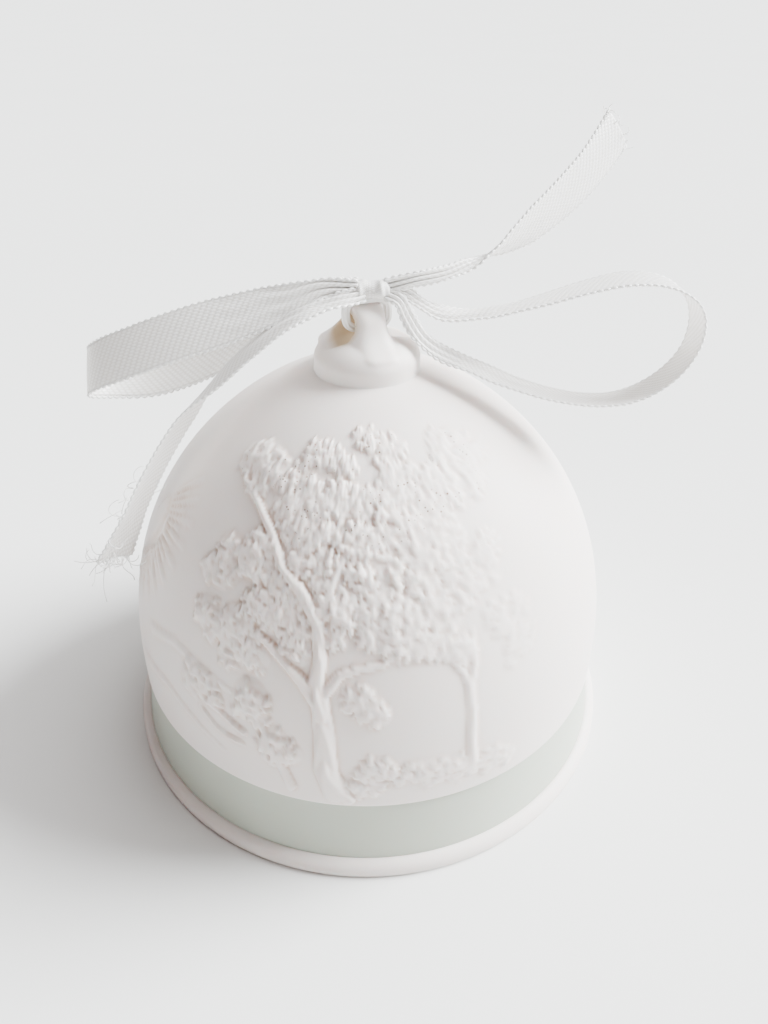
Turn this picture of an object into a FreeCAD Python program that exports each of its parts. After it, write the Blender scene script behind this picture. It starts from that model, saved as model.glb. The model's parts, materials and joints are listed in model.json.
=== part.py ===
"""Porcelain bell ornament with a ribbon bow, in millimetres.

The origin is the centre of the rim plane, +Z up along the bell's axis. The front is towards -Y.
Every driving size is a cell of the spreadsheet `sizes`; each sub-part is a document object whose
Label names its file.
"""
import FreeCAD, Part
import math
import os
import Sketcher

VERTEX_START, VERTEX_END, VERTEX_CENTRE = 1, 2, 3
ORIGIN = -1
Y_AXIS = -2
DOME_STATIONS = 14
RISE_POWER = 0.8
ROUND_POWER = 4.0 / 3.0
# How far round the cap, as a share of its radius, its middle station stands.
CAP_STATION = 0.6
# A bend's run as a share of the shorter of the two runs that it joins.
BEND_SHARE = 0.45
# A drill's length as a multiple of the radius that it passes through.
DRILL_SHARE = 4
# The bead's flat for its washer, as a share of the bead's radius under its centre.
FLAT_SHARE = 0.97
# How far from the knot's middle line the right tail leaves it, as a share of the lane.
INSET_SHARE = 0.4
# The routes of the bow are laid for a bell of this radius, and spread with a wider one. The spread
# starts at the first distance from the axis and is whole at the second.
ROUTE_RADIUS = 40.0
SPREAD_FROM, SPREAD_WHOLE = 5.0, 20.0
TOUCHING = 1e-6
# The cell in which an expression is worked out before it is bound.
TRIAL_CELL = "D1"

SIZES = {
    # shell
    "lip_radius": 40.0,
    "lip_height": 2.5,
    "rim_width": 3.6,
    "band_setback": 1.6,
    "band_top": 12.9,
    "band_recess": 0.6,
    "skirt_setback": 2.5,
    "crown_height": 61.7,
    "shell_wall": 2.6,
    "slip_thickness": 0.3,
    # crown button and hanging loop
    "button_radius": 7.4,
    "button_shoulder": 0.5,
    "button_root": 7.0,
    "button_rise": 3.5,
    "loop_bore": 4.0,
    "loop_rim": 1.4,
    "loop_rise": 3.7,
    "loop_thickness": 5.4,
    "foot_spread": 6.4,
    "loop_root": 3.5,
    "loop_yaw": 20.0,
    "loop_edge": 0.6,
    # ribbon, gathered into a round strand
    "strand": 1.3,
    "strand_clearance": 0.15,
    "neck_bend": 1.0,
    "knot_length": 5.0,
    "knot_width": 4.0,
    "knot_height": 2.9,
    "knot_clearance": 0.5,
    "knot_shift": 0.6,
    "knot_edge": 0.4,
    "lane_offset": 1.0,
    "lane_lift": 0.72,
    # clapper
    "plug_radius": 5.0,
    "plug_depth": 3.4,
    "wire": 1.2,
    "staple_width": 6.0,
    "staple_drop": 8.6,
    "staple_grip": 2.6,
    "link_wire": 1.0,
    "link_diameter": 6.0,
    "link_clearance": 0.05,
    "eye_diameter": 4.0,
    "bead_radius": 7.5,
    "bead_height": 13.0,
    "bead_clearance": 0.1,
    "washer_radius": 1.6,
    "washer_thickness": 0.6,
    "foot_radius": 1.1,
    "foot_thickness": 0.7,
}

doc = FreeCAD.newDocument("bell_ornament")
sheet = doc.addObject("Spreadsheet::Sheet", "sizes")
for row, (alias, value) in enumerate(SIZES.items(), start=1):
    sheet.set("A%d" % row, alias)
    sheet.set("B%d" % row, str(value))
    sheet.setAlias("B%d" % row, alias)
doc.recompute()


def size(alias):
    """The number in the sheet's cell of that name."""
    return float(sheet.get(alias))


def point(radius, height):
    """A point of an outline in the XZ plane."""
    return FreeCAD.Vector(radius, 0, height)


# ---------------------------------------------------------------- derived places

BAND_FOOT = "sizes.lip_radius - sizes.band_setback"
BAND_HEAD = "sizes.lip_radius - sizes.skirt_setback - sizes.band_recess"
BAND_FOOT_RADIUS = size("lip_radius") - size("band_setback")
SKIRT_RADIUS = size("lip_radius") - size("skirt_setback")
BAND_HEAD_RADIUS = SKIRT_RADIUS - size("band_recess")
LOOP_CENTRE = size("crown_height") + size("loop_rise")
LOOP_RADIUS = size("loop_bore") / 2 + size("loop_rim")
LOOP_TOP = LOOP_CENTRE + LOOP_RADIUS
KNOT_BOTTOM = LOOP_TOP + size("knot_clearance")
KNOT_CENTRE = KNOT_BOTTOM + size("knot_height") / 2
CAVITY_TOP = size("crown_height") - size("shell_wall")
STAPLE_PIVOT = CAVITY_TOP - size("staple_drop")
WIRE_GAP = (size("wire") + size("link_wire")) / 2 + size("link_clearance")
LINK_CENTRE = STAPLE_PIVOT + WIRE_GAP - size("link_diameter") / 2
LINK_PIVOT = LINK_CENTRE - size("link_diameter") / 2
EYE_CENTRE = LINK_PIVOT + WIRE_GAP - size("eye_diameter") / 2
LOOP_TURN = FreeCAD.Rotation(FreeCAD.Vector(0, 0, 1), size("loop_yaw"))


# ---------------------------------------------------------------- helpers

def origin_plane(body, role):
    """One of a body's own origin planes, found by its role."""
    for feature in body.Origin.OriginFeatures:
        if feature.Role == role:
            return feature
    raise ValueError(role)


def new_body(label):
    """An empty PartDesign body whose label names the sub-part."""
    body = doc.addObject("PartDesign::Body", label)
    body.Label = label
    return body


def new_sketch(body, name, role="XZ_Plane"):
    """A sketch on one of the body's origin planes."""
    sketch = body.newObject("Sketcher::SketchObject", name)
    sketch.AttachmentSupport = [(origin_plane(body, role), "")]
    sketch.MapMode = "FlatFace"
    return sketch


def bind(sketch, kind, where, guess, expression):
    """Add one dimension to a sketch and bind it to the sheet."""
    index = sketch.addConstraint(Sketcher.Constraint(kind, *where, guess))
    sketch.setExpression("Constraints[%d]" % index, expression)
    return index


def closed_polygon(sketch, corners):
    """A closed outline of straight lines through the corners, joined end to start."""
    count = len(corners)
    for index in range(count):
        start = FreeCAD.Vector(*corners[index], 0)
        end = FreeCAD.Vector(*corners[(index + 1) % count], 0)
        sketch.addGeometry(Part.LineSegment(start, end))
    for index in range(count):
        following = (index + 1) % count
        joint = Sketcher.Constraint("Coincident", index, VERTEX_END, following, VERTEX_START)
        sketch.addConstraint(joint)


def place_corner(sketch, line, expressions):
    """Bind the start of a line to a radius and a height from the sheet."""
    across, up = expressions
    bind(sketch, "DistanceX", (ORIGIN, 1, line, VERTEX_START), value_of(across), across)
    bind(sketch, "DistanceY", (ORIGIN, 1, line, VERTEX_START), value_of(up), up)


def value_of(expression):
    """The number that an expression over the sheet gives."""
    sheet.set(TRIAL_CELL, "=" + expression.replace("sizes.", ""))
    doc.recompute([sheet])
    return float(sheet.get(TRIAL_CELL))


def revolved_body(label, corners):
    """A body turned about Z from a polygon whose corners are pairs of sheet expressions."""
    body = new_body(label)
    sketch = new_sketch(body, label + "_outline")
    closed_polygon(sketch, [(value_of(across), value_of(up)) for across, up in corners])
    for line, expressions in enumerate(corners):
        place_corner(sketch, line, expressions)
    turned = body.newObject("PartDesign::Revolution", label + "_turned")
    turned.Profile = sketch
    turned.ReferenceAxis = (sketch, ["V_Axis"])
    turned.Angle = 360
    body.Tip = turned
    doc.recompute()
    return body


def cut(label, base, tool):
    """A Part::Cut that takes the tool's solid out of the base's."""
    result = doc.addObject("Part::Cut", label + "_cut")
    result.Base = base
    result.Tool = tool
    result.Label = label
    doc.recompute()
    return result


def feature(label, shape):
    """A Part::Feature that holds a shape worked out from the sheet."""
    result = doc.addObject("Part::Feature", label)
    result.Shape = shape
    result.Label = label
    return result


# ---------------------------------------------------------------- the shell

def dome_curve(radius, top):
    """The dome's outline from the top of the band to the crown, fuller at the skirt than above."""
    rise = top - size("band_top")
    stations = []
    for index in range(DOME_STATIONS + 1):
        turn = math.pi / 2 * index / DOME_STATIONS
        across = radius * abs(math.cos(turn)) ** ROUND_POWER
        up = size("band_top") + rise * math.sin(turn) ** RISE_POWER
        stations.append(point(across, up))
    stations[-1] = point(0, top)
    curve = Part.BSplineCurve()
    curve.interpolate(
        Points=stations,
        InitialTangent=FreeCAD.Vector(0, 0, 1),
        FinalTangent=FreeCAD.Vector(-1, 0, 0),
    )
    return curve.toShape()


def polyline(*points):
    """Straight edges through the points."""
    return [Part.makeLine(first, second) for first, second in zip(points, points[1:])]


def turned_solid(edges):
    """The solid that a closed outline in the XZ plane makes about Z."""
    face = Part.Face(Part.Wire(Part.__sortEdges__(edges)))
    solid = face.revolve(FreeCAD.Vector(0, 0, 0), FreeCAD.Vector(0, 0, 1), 360)
    return Part.Solid(solid.Shells[0]) if solid.ShapeType != "Solid" else solid


def shell_solid():
    """The cast shell: rounded lip, groove for the slip band and dome, with its inner face."""
    lip = size("lip_radius")
    ledge = size("lip_height")
    floor_foot = BAND_FOOT_RADIUS - size("slip_thickness")
    floor_head = BAND_HEAD_RADIUS - size("slip_thickness")
    inner_skirt = SKIRT_RADIUS - size("shell_wall")
    head = size("band_top")
    lip_round = lip - BAND_FOOT_RADIUS
    lip_side = point(lip, ledge - lip_round)
    lip_top = point(BAND_FOOT_RADIUS, ledge)
    slope = math.sqrt(0.5) * lip_round
    lip_middle = point(BAND_FOOT_RADIUS + slope, ledge - lip_round + slope)
    edges = polyline(point(lip - size("rim_width"), 0), point(lip, 0), lip_side)
    edges.append(Part.Arc(lip_side, lip_middle, lip_top).toShape())
    edges += polyline(
        lip_top, point(floor_foot, ledge), point(floor_head, head), point(SKIRT_RADIUS, head)
    )
    edges.append(dome_curve(SKIRT_RADIUS, size("crown_height")))
    edges += polyline(point(0, size("crown_height")), point(0, CAVITY_TOP))
    edges.append(dome_curve(inner_skirt, CAVITY_TOP))
    edges += polyline(
        point(inner_skirt, head),
        point(floor_foot - size("shell_wall"), ledge),
        point(lip - size("rim_width"), 0),
    )
    return turned_solid(edges)


def dome_core(radius, top):
    """The solid inside a dome surface, used to seat pieces on it."""
    edges = [dome_curve(radius, top)]
    edges += polyline(point(0, top), point(0, size("band_top")), point(radius, size("band_top")))
    return turned_solid(edges)


bell_shell = feature("bell_shell", shell_solid())
outer_dome = feature("outer_dome", dome_core(SKIRT_RADIUS, size("crown_height")))
inner_dome = feature("inner_dome", dome_core(SKIRT_RADIUS - size("shell_wall"), CAVITY_TOP))

slip_band = revolved_body(
    "slip_band",
    [
        (BAND_FOOT + " - sizes.slip_thickness", "sizes.lip_height"),
        (BAND_FOOT, "sizes.lip_height"),
        (BAND_HEAD, "sizes.band_top"),
        (BAND_HEAD + " - sizes.slip_thickness", "sizes.band_top"),
    ],
)


# ---------------------------------------------------------------- crown button and loop

def button_body():
    """The button before it is seated: a short skirt under a shallow cap."""
    body = new_body("button_blank")
    sketch = new_sketch(body, "button_outline")
    radius = size("button_radius")
    foot = size("crown_height") - size("button_root")
    shoulder = size("crown_height") - size("button_shoulder")
    top = size("crown_height") + size("button_rise")
    sketch.addGeometry(Part.LineSegment(FreeCAD.Vector(0, top, 0), FreeCAD.Vector(0, foot, 0)))
    sketch.addGeometry(Part.LineSegment(FreeCAD.Vector(0, foot, 0), FreeCAD.Vector(radius, foot, 0)))
    sketch.addGeometry(
        Part.LineSegment(FreeCAD.Vector(radius, foot, 0), FreeCAD.Vector(radius, shoulder, 0))
    )
    lift = top - shoulder
    bulge = (radius * radius + lift * lift) / (2 * lift)
    middle_across = radius * CAP_STATION
    middle_up = top - bulge + math.sqrt(bulge * bulge - middle_across * middle_across)
    cap = Part.Arc(
        FreeCAD.Vector(radius, shoulder, 0),
        FreeCAD.Vector(middle_across, middle_up, 0),
        FreeCAD.Vector(0, top, 0),
    )
    sketch.addGeometry(cap)
    constrain = sketch.addConstraint
    constrain(Sketcher.Constraint("Coincident", 0, VERTEX_END, 1, VERTEX_START))
    constrain(Sketcher.Constraint("Coincident", 1, VERTEX_END, 2, VERTEX_START))
    constrain(Sketcher.Constraint("PointOnObject", 0, VERTEX_START, Y_AXIS))
    constrain(Sketcher.Constraint("PointOnObject", 0, VERTEX_END, Y_AXIS))
    constrain(Sketcher.Constraint("Horizontal", 1))
    constrain(Sketcher.Constraint("Vertical", 2))
    arc_shoulder = VERTEX_START
    if (sketch.Geometry[3].StartPoint - FreeCAD.Vector(radius, shoulder, 0)).Length > TOUCHING:
        arc_shoulder = VERTEX_END
    arc_top = VERTEX_START + VERTEX_END - arc_shoulder
    constrain(Sketcher.Constraint("Coincident", 2, VERTEX_END, 3, arc_shoulder))
    constrain(Sketcher.Constraint("Coincident", 0, VERTEX_START, 3, arc_top))
    constrain(Sketcher.Constraint("PointOnObject", 3, VERTEX_CENTRE, Y_AXIS))
    bind(sketch, "DistanceX", (ORIGIN, 1, 1, VERTEX_END), radius, "sizes.button_radius")
    bind(sketch, "DistanceY", (ORIGIN, 1, 0, VERTEX_START), top, "sizes.crown_height + sizes.button_rise")
    bind(
        sketch, "DistanceY", (ORIGIN, 1, 0, VERTEX_END), foot,
        "sizes.crown_height - sizes.button_root",
    )
    bind(
        sketch, "DistanceY", (ORIGIN, 1, 2, VERTEX_END), shoulder,
        "sizes.crown_height - sizes.button_shoulder",
    )
    turned = body.newObject("PartDesign::Revolution", "button_turned")
    turned.Profile = sketch
    turned.ReferenceAxis = (sketch, ["V_Axis"])
    turned.Angle = 360
    body.Tip = turned
    doc.recompute()
    return body


def bore_cylinder():
    """The round hole through the loop, along the loop's own X axis."""
    cylinder = doc.addObject("Part::Cylinder", "loop_bore_tool")
    cylinder.setExpression("Radius", "sizes.loop_bore / 2")
    cylinder.setExpression("Height", "%d * sizes.button_radius" % DRILL_SHARE)
    doc.recompute()
    lay_down = FreeCAD.Rotation(FreeCAD.Vector(0, 1, 0), 90)
    turn = LOOP_TURN.multiply(lay_down)
    reach = turn.multVec(FreeCAD.Vector(0, 0, cylinder.Height.Value / 2))
    cylinder.Placement = FreeCAD.Placement(FreeCAD.Vector(0, 0, LOOP_CENTRE) - reach, turn)
    return cylinder


def loop_body():
    """The loop before it is seated: a round eye whose sides flare down to two feet."""
    body = new_body("loop_blank")
    sketch = new_sketch(body, "loop_outline", "YZ_Plane")
    spread = size("foot_spread")
    foot = size("crown_height") - size("loop_root")
    reach = math.hypot(spread, LOOP_CENTRE - foot)
    lean = math.atan2(foot - LOOP_CENTRE, spread) + math.acos(LOOP_RADIUS / reach)
    across = LOOP_RADIUS * math.cos(lean)
    up = LOOP_CENTRE + LOOP_RADIUS * math.sin(lean)
    centre = FreeCAD.Vector(0, LOOP_CENTRE, 0)
    circle = Part.Circle(centre, FreeCAD.Vector(0, 0, 1), LOOP_RADIUS)
    sketch.addGeometry(Part.ArcOfCircle(circle, lean, math.pi - lean))
    sketch.addGeometry(
        Part.LineSegment(FreeCAD.Vector(-across, up, 0), FreeCAD.Vector(-spread, foot, 0))
    )
    sketch.addGeometry(
        Part.LineSegment(FreeCAD.Vector(-spread, foot, 0), FreeCAD.Vector(spread, foot, 0))
    )
    sketch.addGeometry(
        Part.LineSegment(FreeCAD.Vector(spread, foot, 0), FreeCAD.Vector(across, up, 0))
    )
    sketch.addGeometry(Part.Circle(centre, FreeCAD.Vector(0, 0, 1), size("loop_bore") / 2))
    constrain = sketch.addConstraint
    constrain(Sketcher.Constraint("Tangent", 0, VERTEX_END, 1, VERTEX_START))
    constrain(Sketcher.Constraint("Coincident", 1, VERTEX_END, 2, VERTEX_START))
    constrain(Sketcher.Constraint("Coincident", 2, VERTEX_END, 3, VERTEX_START))
    constrain(Sketcher.Constraint("Tangent", 3, VERTEX_END, 0, VERTEX_START))
    constrain(Sketcher.Constraint("PointOnObject", 0, VERTEX_CENTRE, Y_AXIS))
    constrain(Sketcher.Constraint("Coincident", 4, VERTEX_CENTRE, 0, VERTEX_CENTRE))
    constrain(Sketcher.Constraint("Symmetric", 2, VERTEX_START, 2, VERTEX_END, Y_AXIS))
    bind(sketch, "Radius", (0,), LOOP_RADIUS, "sizes.loop_bore / 2 + sizes.loop_rim")
    bind(sketch, "Radius", (4,), size("loop_bore") / 2, "sizes.loop_bore / 2")
    bind(
        sketch, "DistanceY", (ORIGIN, 1, 0, VERTEX_CENTRE), LOOP_CENTRE,
        "sizes.crown_height + sizes.loop_rise",
    )
    bind(sketch, "DistanceX", (ORIGIN, 1, 2, VERTEX_END), spread, "sizes.foot_spread")
    bind(
        sketch, "DistanceY", (ORIGIN, 1, 2, VERTEX_END), foot,
        "sizes.crown_height - sizes.loop_root",
    )
    pad = body.newObject("PartDesign::Pad", "loop_pad")
    pad.Profile = sketch
    pad.setExpression("Length", "sizes.loop_thickness")
    pad.Midplane = True
    body.Tip = pad
    doc.recompute()
    half = size("loop_thickness") / 2
    rims = []
    for index, edge in enumerate(pad.Shape.Edges, start=1):
        on_face = all(abs(abs(vertex.X) - half) < TOUCHING for vertex in edge.Vertexes)
        flat = abs(edge.BoundBox.XMax - edge.BoundBox.XMin) < TOUCHING
        if on_face and flat and edge.BoundBox.ZMax > foot + TOUCHING:
            rims.append("Edge%d" % index)
    fillet = body.newObject("PartDesign::Fillet", "loop_rounded")
    fillet.Base = (pad, rims)
    fillet.setExpression("Radius", "sizes.loop_edge")
    body.Tip = fillet
    body.Placement = FreeCAD.Placement(FreeCAD.Vector(0, 0, 0), LOOP_TURN)
    doc.recompute()
    return body


button_blank = button_body()
button_seated = cut("button_seated", button_blank, outer_dome)
crown_button = cut("crown_button", button_seated, bore_cylinder())
loop_seated = cut("loop_seated", loop_body(), outer_dome)
hanging_loop = cut("hanging_loop", loop_seated, button_blank)


# ---------------------------------------------------------------- ribbon

def rounded_path(points, bend=None):
    """Straight runs joined by tangent arcs, each as large as its two runs allow."""
    knots = [FreeCAD.Vector(*place) for place in points]
    edges = []
    radii = []
    start = knots[0]
    for before, corner, after in zip(knots, knots[1:], knots[2:]):
        back = before - corner
        ahead = after - corner
        shorter = min(back.Length, ahead.Length)
        half_turn = (math.pi - back.getAngle(ahead)) / 2
        reach = BEND_SHARE * shorter if bend is None else bend * math.tan(half_turn)
        radii.append(reach / math.tan(half_turn))
        back.normalize()
        ahead.normalize()
        arc_start = corner + back * reach
        arc_end = corner + ahead * reach
        inward = back + ahead
        inward.normalize()
        away = radii[-1] / math.cos(half_turn) - radii[-1]
        edges.append(Part.makeLine(start, arc_start))
        edges.append(Part.Arc(arc_start, corner + inward * away, arc_end).toShape())
        start = arc_end
    edges.append(Part.makeLine(start, knots[-1]))
    return Part.Wire(edges), radii


def round_wire(path, diameter):
    """A round section swept along a path of runs and arcs."""
    first = path.Edges[0]
    start = first.valueAt(first.FirstParameter)
    along = first.tangentAt(first.FirstParameter)
    section = Part.Wire(Part.makeCircle(diameter / 2, start, along))
    return path.makePipeShell([section], True, False)


def spread_place(across, deep, up):
    """A place of a route, from the knot's centre, moved out in keeping with the bell's radius."""
    free = (math.hypot(across, deep) - SPREAD_FROM) / (SPREAD_WHOLE - SPREAD_FROM)
    share = min(1.0, max(0.0, free))
    scale = 1 + (size("lip_radius") / ROUTE_RADIUS - 1) * share
    return across * scale, deep * scale, KNOT_CENTRE + up


def strand(label, points):
    """One free stretch of the ribbon as a round strand; its heights are from the knot's centre."""
    path, radii = rounded_path([spread_place(*place) for place in points])
    solid = round_wire(path, size("strand"))
    expected = math.pi / 4 * size("strand") ** 2 * path.Length
    print(
        "%s: length %.1f, bends %.1f to %.1f, volume %.1f of %.1f"
        % (label, path.Length, min(radii), max(radii), solid.Volume, expected)
    )
    return feature(label, solid)


def neck_solid():
    """The stretch that goes through the loop's hole and over the loop's top, under the knot."""
    reach = size("loop_thickness") / 2 + size("strand_clearance") + size("strand") / 2
    top = LOOP_TOP + size("strand_clearance") + size("strand") / 2
    bottom = LOOP_CENTRE
    corners = [
        (0, 0, top), (reach, 0, top), (reach, 0, bottom), (-reach, 0, bottom), (-reach, 0, top),
        (0, 0, top),
    ]
    path, _ = rounded_path(corners, size("neck_bend"))
    return round_wire(path, size("strand"))


ribbon_neck = feature("ribbon_neck", neck_solid())
ribbon_neck.Placement = FreeCAD.Placement(FreeCAD.Vector(0, 0, 0), LOOP_TURN)


def knot_body():
    """The knot before the neck is let into its underside: a block with rounded edges."""
    body = new_body("knot_blank")
    sketch = new_sketch(body, "knot_outline", "XY_Plane")
    half_long = "sizes.knot_length / 2"
    half_wide = "sizes.knot_width / 2"
    corners = [
        ("-" + half_long, "-" + half_wide),
        (half_long, "-" + half_wide),
        (half_long, half_wide),
        ("-" + half_long, half_wide),
    ]
    closed_polygon(sketch, [(value_of(across), value_of(up)) for across, up in corners])
    for line in range(4):
        direction = "Horizontal" if line % 2 == 0 else "Vertical"
        sketch.addConstraint(Sketcher.Constraint(direction, line))
    middle = Sketcher.Constraint("Symmetric", 0, VERTEX_START, 1, VERTEX_END, ORIGIN, 1)
    sketch.addConstraint(middle)
    bind(
        sketch, "DistanceX", (0, VERTEX_START, 0, VERTEX_END),
        size("knot_length"), "sizes.knot_length",
    )
    bind(
        sketch, "DistanceY", (1, VERTEX_START, 1, VERTEX_END), size("knot_width"), "sizes.knot_width"
    )
    pad = body.newObject("PartDesign::Pad", "knot_pad")
    pad.Profile = sketch
    pad.setExpression("Length", "sizes.knot_height")
    body.Tip = pad
    doc.recompute()
    fillet = body.newObject("PartDesign::Fillet", "knot_rounded")
    fillet.Base = (pad, ["Edge%d" % (index + 1) for index in range(len(pad.Shape.Edges))])
    fillet.setExpression("Radius", "sizes.knot_edge")
    body.Tip = fillet
    body.setExpression("Placement.Base.x", "sizes.knot_shift")
    body.Placement.Base = FreeCAD.Vector(size("knot_shift"), 0, KNOT_BOTTOM)
    doc.recompute()
    return body


ribbon_knot = cut("ribbon_knot", knot_body(), ribbon_neck)

KNOT_LEFT = size("knot_shift") - size("knot_length") / 2
KNOT_RIGHT = size("knot_shift") + size("knot_length") / 2
LANE = size("lane_offset")
LANE_HIGH = size("lane_lift")
LANE_LOW = -size("lane_lift")
LANE_MIDDLE = size("lane_lift") / 3
LANE_INSET = size("lane_offset") * INSET_SHARE
KNOT_FRONT = -size("knot_width") / 2

LOOP_LEFT_ROUTE = [
    (KNOT_LEFT, -LANE, LANE_HIGH),
    (-3.8, -LANE, LANE_HIGH),
    (-6.8, -1.7, -0.15),
    (-11.6, -2.4, -1.45),
    (-17.8, -3.2, -3.55),
    (-25.0, -3.9, -5.35),
    (-31.8, -3.8, -7.85),
    (-37.2, -2.4, -9.95),
    (-39.6, 0.8, -11.95),
    (-37.6, 4.0, -13.55),
    (-32.0, 4.8, -14.15),
    (-26.0, 4.2, -11.95),
    (-19.4, 3.4, -8.75),
    (-12.8, 2.6, -5.15),
    (-7.6, 1.8, -1.55),
    (-4.6, LANE, LANE_MIDDLE),
    (KNOT_LEFT, LANE, LANE_MIDDLE),
]

TAIL_LEFT_ROUTE = [
    (-0.9, KNOT_FRONT, LANE_LOW),
    (-0.9, -3.7, LANE_LOW),
    (-3.4, -5.0, -1.25),
    (-8.2, -4.6, -2.95),
    (-13.6, -4.8, -5.55),
    (-18.6, -5.8, -9.35),
    (-22.2, -7.4, -13.95),
    (-25.6, -9.2, -18.55),
    (-29.2, -11.0, -23.35),
    (-32.8, -12.7, -28.35),
    (-36.2, -14.0, -33.35),
]

LOOP_RIGHT_ROUTE = [
    (KNOT_RIGHT, -LANE, LANE_LOW),
    (4.7, -LANE, LANE_LOW),
    (6.7, -1.2, -2.35),
    (8.1, -1.5, -5.15),
    (10.6, -1.9, -8.35),
    (15.4, -2.5, -11.55),
    (22.6, -3.0, -14.55),
    (30.0, -2.8, -15.95),
    (37.4, -2.0, -15.55),
    (43.2, -0.8, -12.55),
    (46.4, 0.4, -7.35),
    (46.2, 1.6, -1.75),
    (42.4, 2.4, 1.65),
    (36.4, 2.6, 2.45),
    (29.6, 2.4, 0.85),
    (22.6, 2.0, -1.75),
    (15.4, 1.6, -3.25),
    (9.8, 1.3, -2.75),
    (7.0, 1.2, -0.85),
    (4.9, LANE, LANE_MIDDLE),
    (KNOT_RIGHT, LANE, LANE_MIDDLE),
]

TAIL_RIGHT_ROUTE = [
    (KNOT_RIGHT, -LANE_INSET, LANE_HIGH),
    (5.0, -LANE_INSET, LANE_HIGH),
    (8.2, 0.6, 0.45),
    (12.6, 2.8, 1.45),
    (17.6, 6.0, 3.05),
    (23.4, 10.2, 5.65),
    (29.2, 15.0, 9.05),
    (33.6, 19.0, 12.65),
    (36.6, 22.4, 16.65),
]

ribbon_loop_left = strand("ribbon_loop_left", LOOP_LEFT_ROUTE)
ribbon_tail_left = strand("ribbon_tail_left", TAIL_LEFT_ROUTE)
ribbon_loop_right = strand("ribbon_loop_right", LOOP_RIGHT_ROUTE)
ribbon_tail_right = strand("ribbon_tail_right", TAIL_RIGHT_ROUTE)


# ---------------------------------------------------------------- clapper

def staple_solid():
    """A bent wire staple: two legs up into the plug and a round bend at the bottom."""
    half = size("staple_width") / 2
    leg_top = CAVITY_TOP - size("plug_depth") + size("staple_grip")
    left = FreeCAD.Vector(-half, 0, STAPLE_PIVOT + half)
    right = FreeCAD.Vector(half, 0, STAPLE_PIVOT + half)
    bottom = FreeCAD.Vector(0, 0, STAPLE_PIVOT)
    path = Part.Wire([
        Part.makeLine(FreeCAD.Vector(-half, 0, leg_top), left),
        Part.Arc(left, bottom, right).toShape(),
        Part.makeLine(right, FreeCAD.Vector(half, 0, leg_top)),
    ])
    return round_wire(path, size("wire"))


clapper_staple = feature("clapper_staple", staple_solid())

plug_blank = doc.addObject("Part::Cylinder", "plug_blank")
plug_blank.setExpression("Radius", "sizes.plug_radius")
plug_blank.setExpression("Height", "sizes.plug_depth")
plug_blank.setExpression(
    "Placement.Base.z", "sizes.crown_height - sizes.shell_wall - sizes.plug_depth"
)
doc.recompute()
plug_seated = doc.addObject("Part::Common", "plug_seated")
plug_seated.Base = plug_blank
plug_seated.Tool = inner_dome
doc.recompute()
anchor_plug = cut("anchor_plug", plug_seated, clapper_staple)

link_ring = doc.addObject("Part::Torus", "link_ring")
link_ring.setExpression("Radius1", "sizes.link_diameter / 2")
link_ring.setExpression("Radius2", "sizes.link_wire / 2")
link_ring.Placement = FreeCAD.Placement(
    FreeCAD.Vector(0, 0, LINK_CENTRE), FreeCAD.Rotation(FreeCAD.Vector(0, 1, 0), 90)
)

clapper_eye = doc.addObject("Part::Torus", "clapper_eye")
clapper_eye.setExpression("Radius1", "sizes.eye_diameter / 2")
clapper_eye.setExpression("Radius2", "sizes.link_wire / 2")
clapper_eye.Placement = FreeCAD.Placement(
    FreeCAD.Vector(0, 0, EYE_CENTRE), FreeCAD.Rotation(FreeCAD.Vector(1, 0, 0), 90)
)

BEAD_FLAT = "sizes.bead_height - %g * sizes.bead_radius" % FLAT_SHARE
WASHER_TOP = value_of(BEAD_FLAT)
FOOT_TOP = WASHER_TOP - size("washer_thickness")
STEM_TOP = EYE_CENTRE - size("eye_diameter") / 2
clapper_stem = doc.addObject("Part::Cylinder", "clapper_stem")
clapper_stem.setExpression("Radius", "sizes.link_wire / 2")
clapper_stem.Height = STEM_TOP - FOOT_TOP
clapper_stem.Placement.Base = FreeCAD.Vector(0, 0, FOOT_TOP)
clapper_foot = doc.addObject("Part::Cylinder", "clapper_foot")
clapper_foot.setExpression("Radius", "sizes.foot_radius")
clapper_foot.setExpression("Height", "sizes.foot_thickness")
clapper_foot.Placement.Base = FreeCAD.Vector(0, 0, FOOT_TOP - size("foot_thickness"))
clapper_wire = doc.addObject("Part::MultiFuse", "clapper_wire")
clapper_wire.Shapes = [clapper_eye, clapper_stem, clapper_foot]
doc.recompute()


def bored_ball():
    """The porcelain bead with its hole for the wire and a flat where the washer seats."""
    ball = doc.addObject("Part::Sphere", "bead_ball")
    ball.setExpression("Radius", "sizes.bead_radius")
    ball.setExpression("Placement.Base.z", "sizes.bead_height")
    seat = doc.addObject("Part::Cylinder", "bead_seat")
    seat.setExpression("Radius", "sizes.bead_radius")
    seat.setExpression("Height", "sizes.bead_radius")
    doc.recompute()
    seat.Placement.Base = FreeCAD.Vector(0, 0, WASHER_TOP - size("bead_radius"))
    hole = doc.addObject("Part::Cylinder", "bead_hole")
    hole.setExpression("Radius", "sizes.link_wire / 2 + sizes.bead_clearance")
    hole.setExpression("Height", "%d * sizes.bead_radius" % DRILL_SHARE)
    doc.recompute()
    hole.Placement.Base = FreeCAD.Vector(0, 0, size("bead_height") - hole.Height.Value / 2)
    flattened = cut("bead_flattened", ball, seat)
    return cut("clapper_bead", flattened, hole)


clapper_bead = bored_ball()

stop_washer = revolved_body(
    "stop_washer",
    [
        ("sizes.link_wire / 2 + sizes.bead_clearance", BEAD_FLAT + " - sizes.washer_thickness"),
        ("sizes.washer_radius", BEAD_FLAT + " - sizes.washer_thickness"),
        ("sizes.washer_radius", BEAD_FLAT),
        ("sizes.link_wire / 2 + sizes.bead_clearance", BEAD_FLAT),
    ],
)


# ---------------------------------------------------------------- check and write

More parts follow.
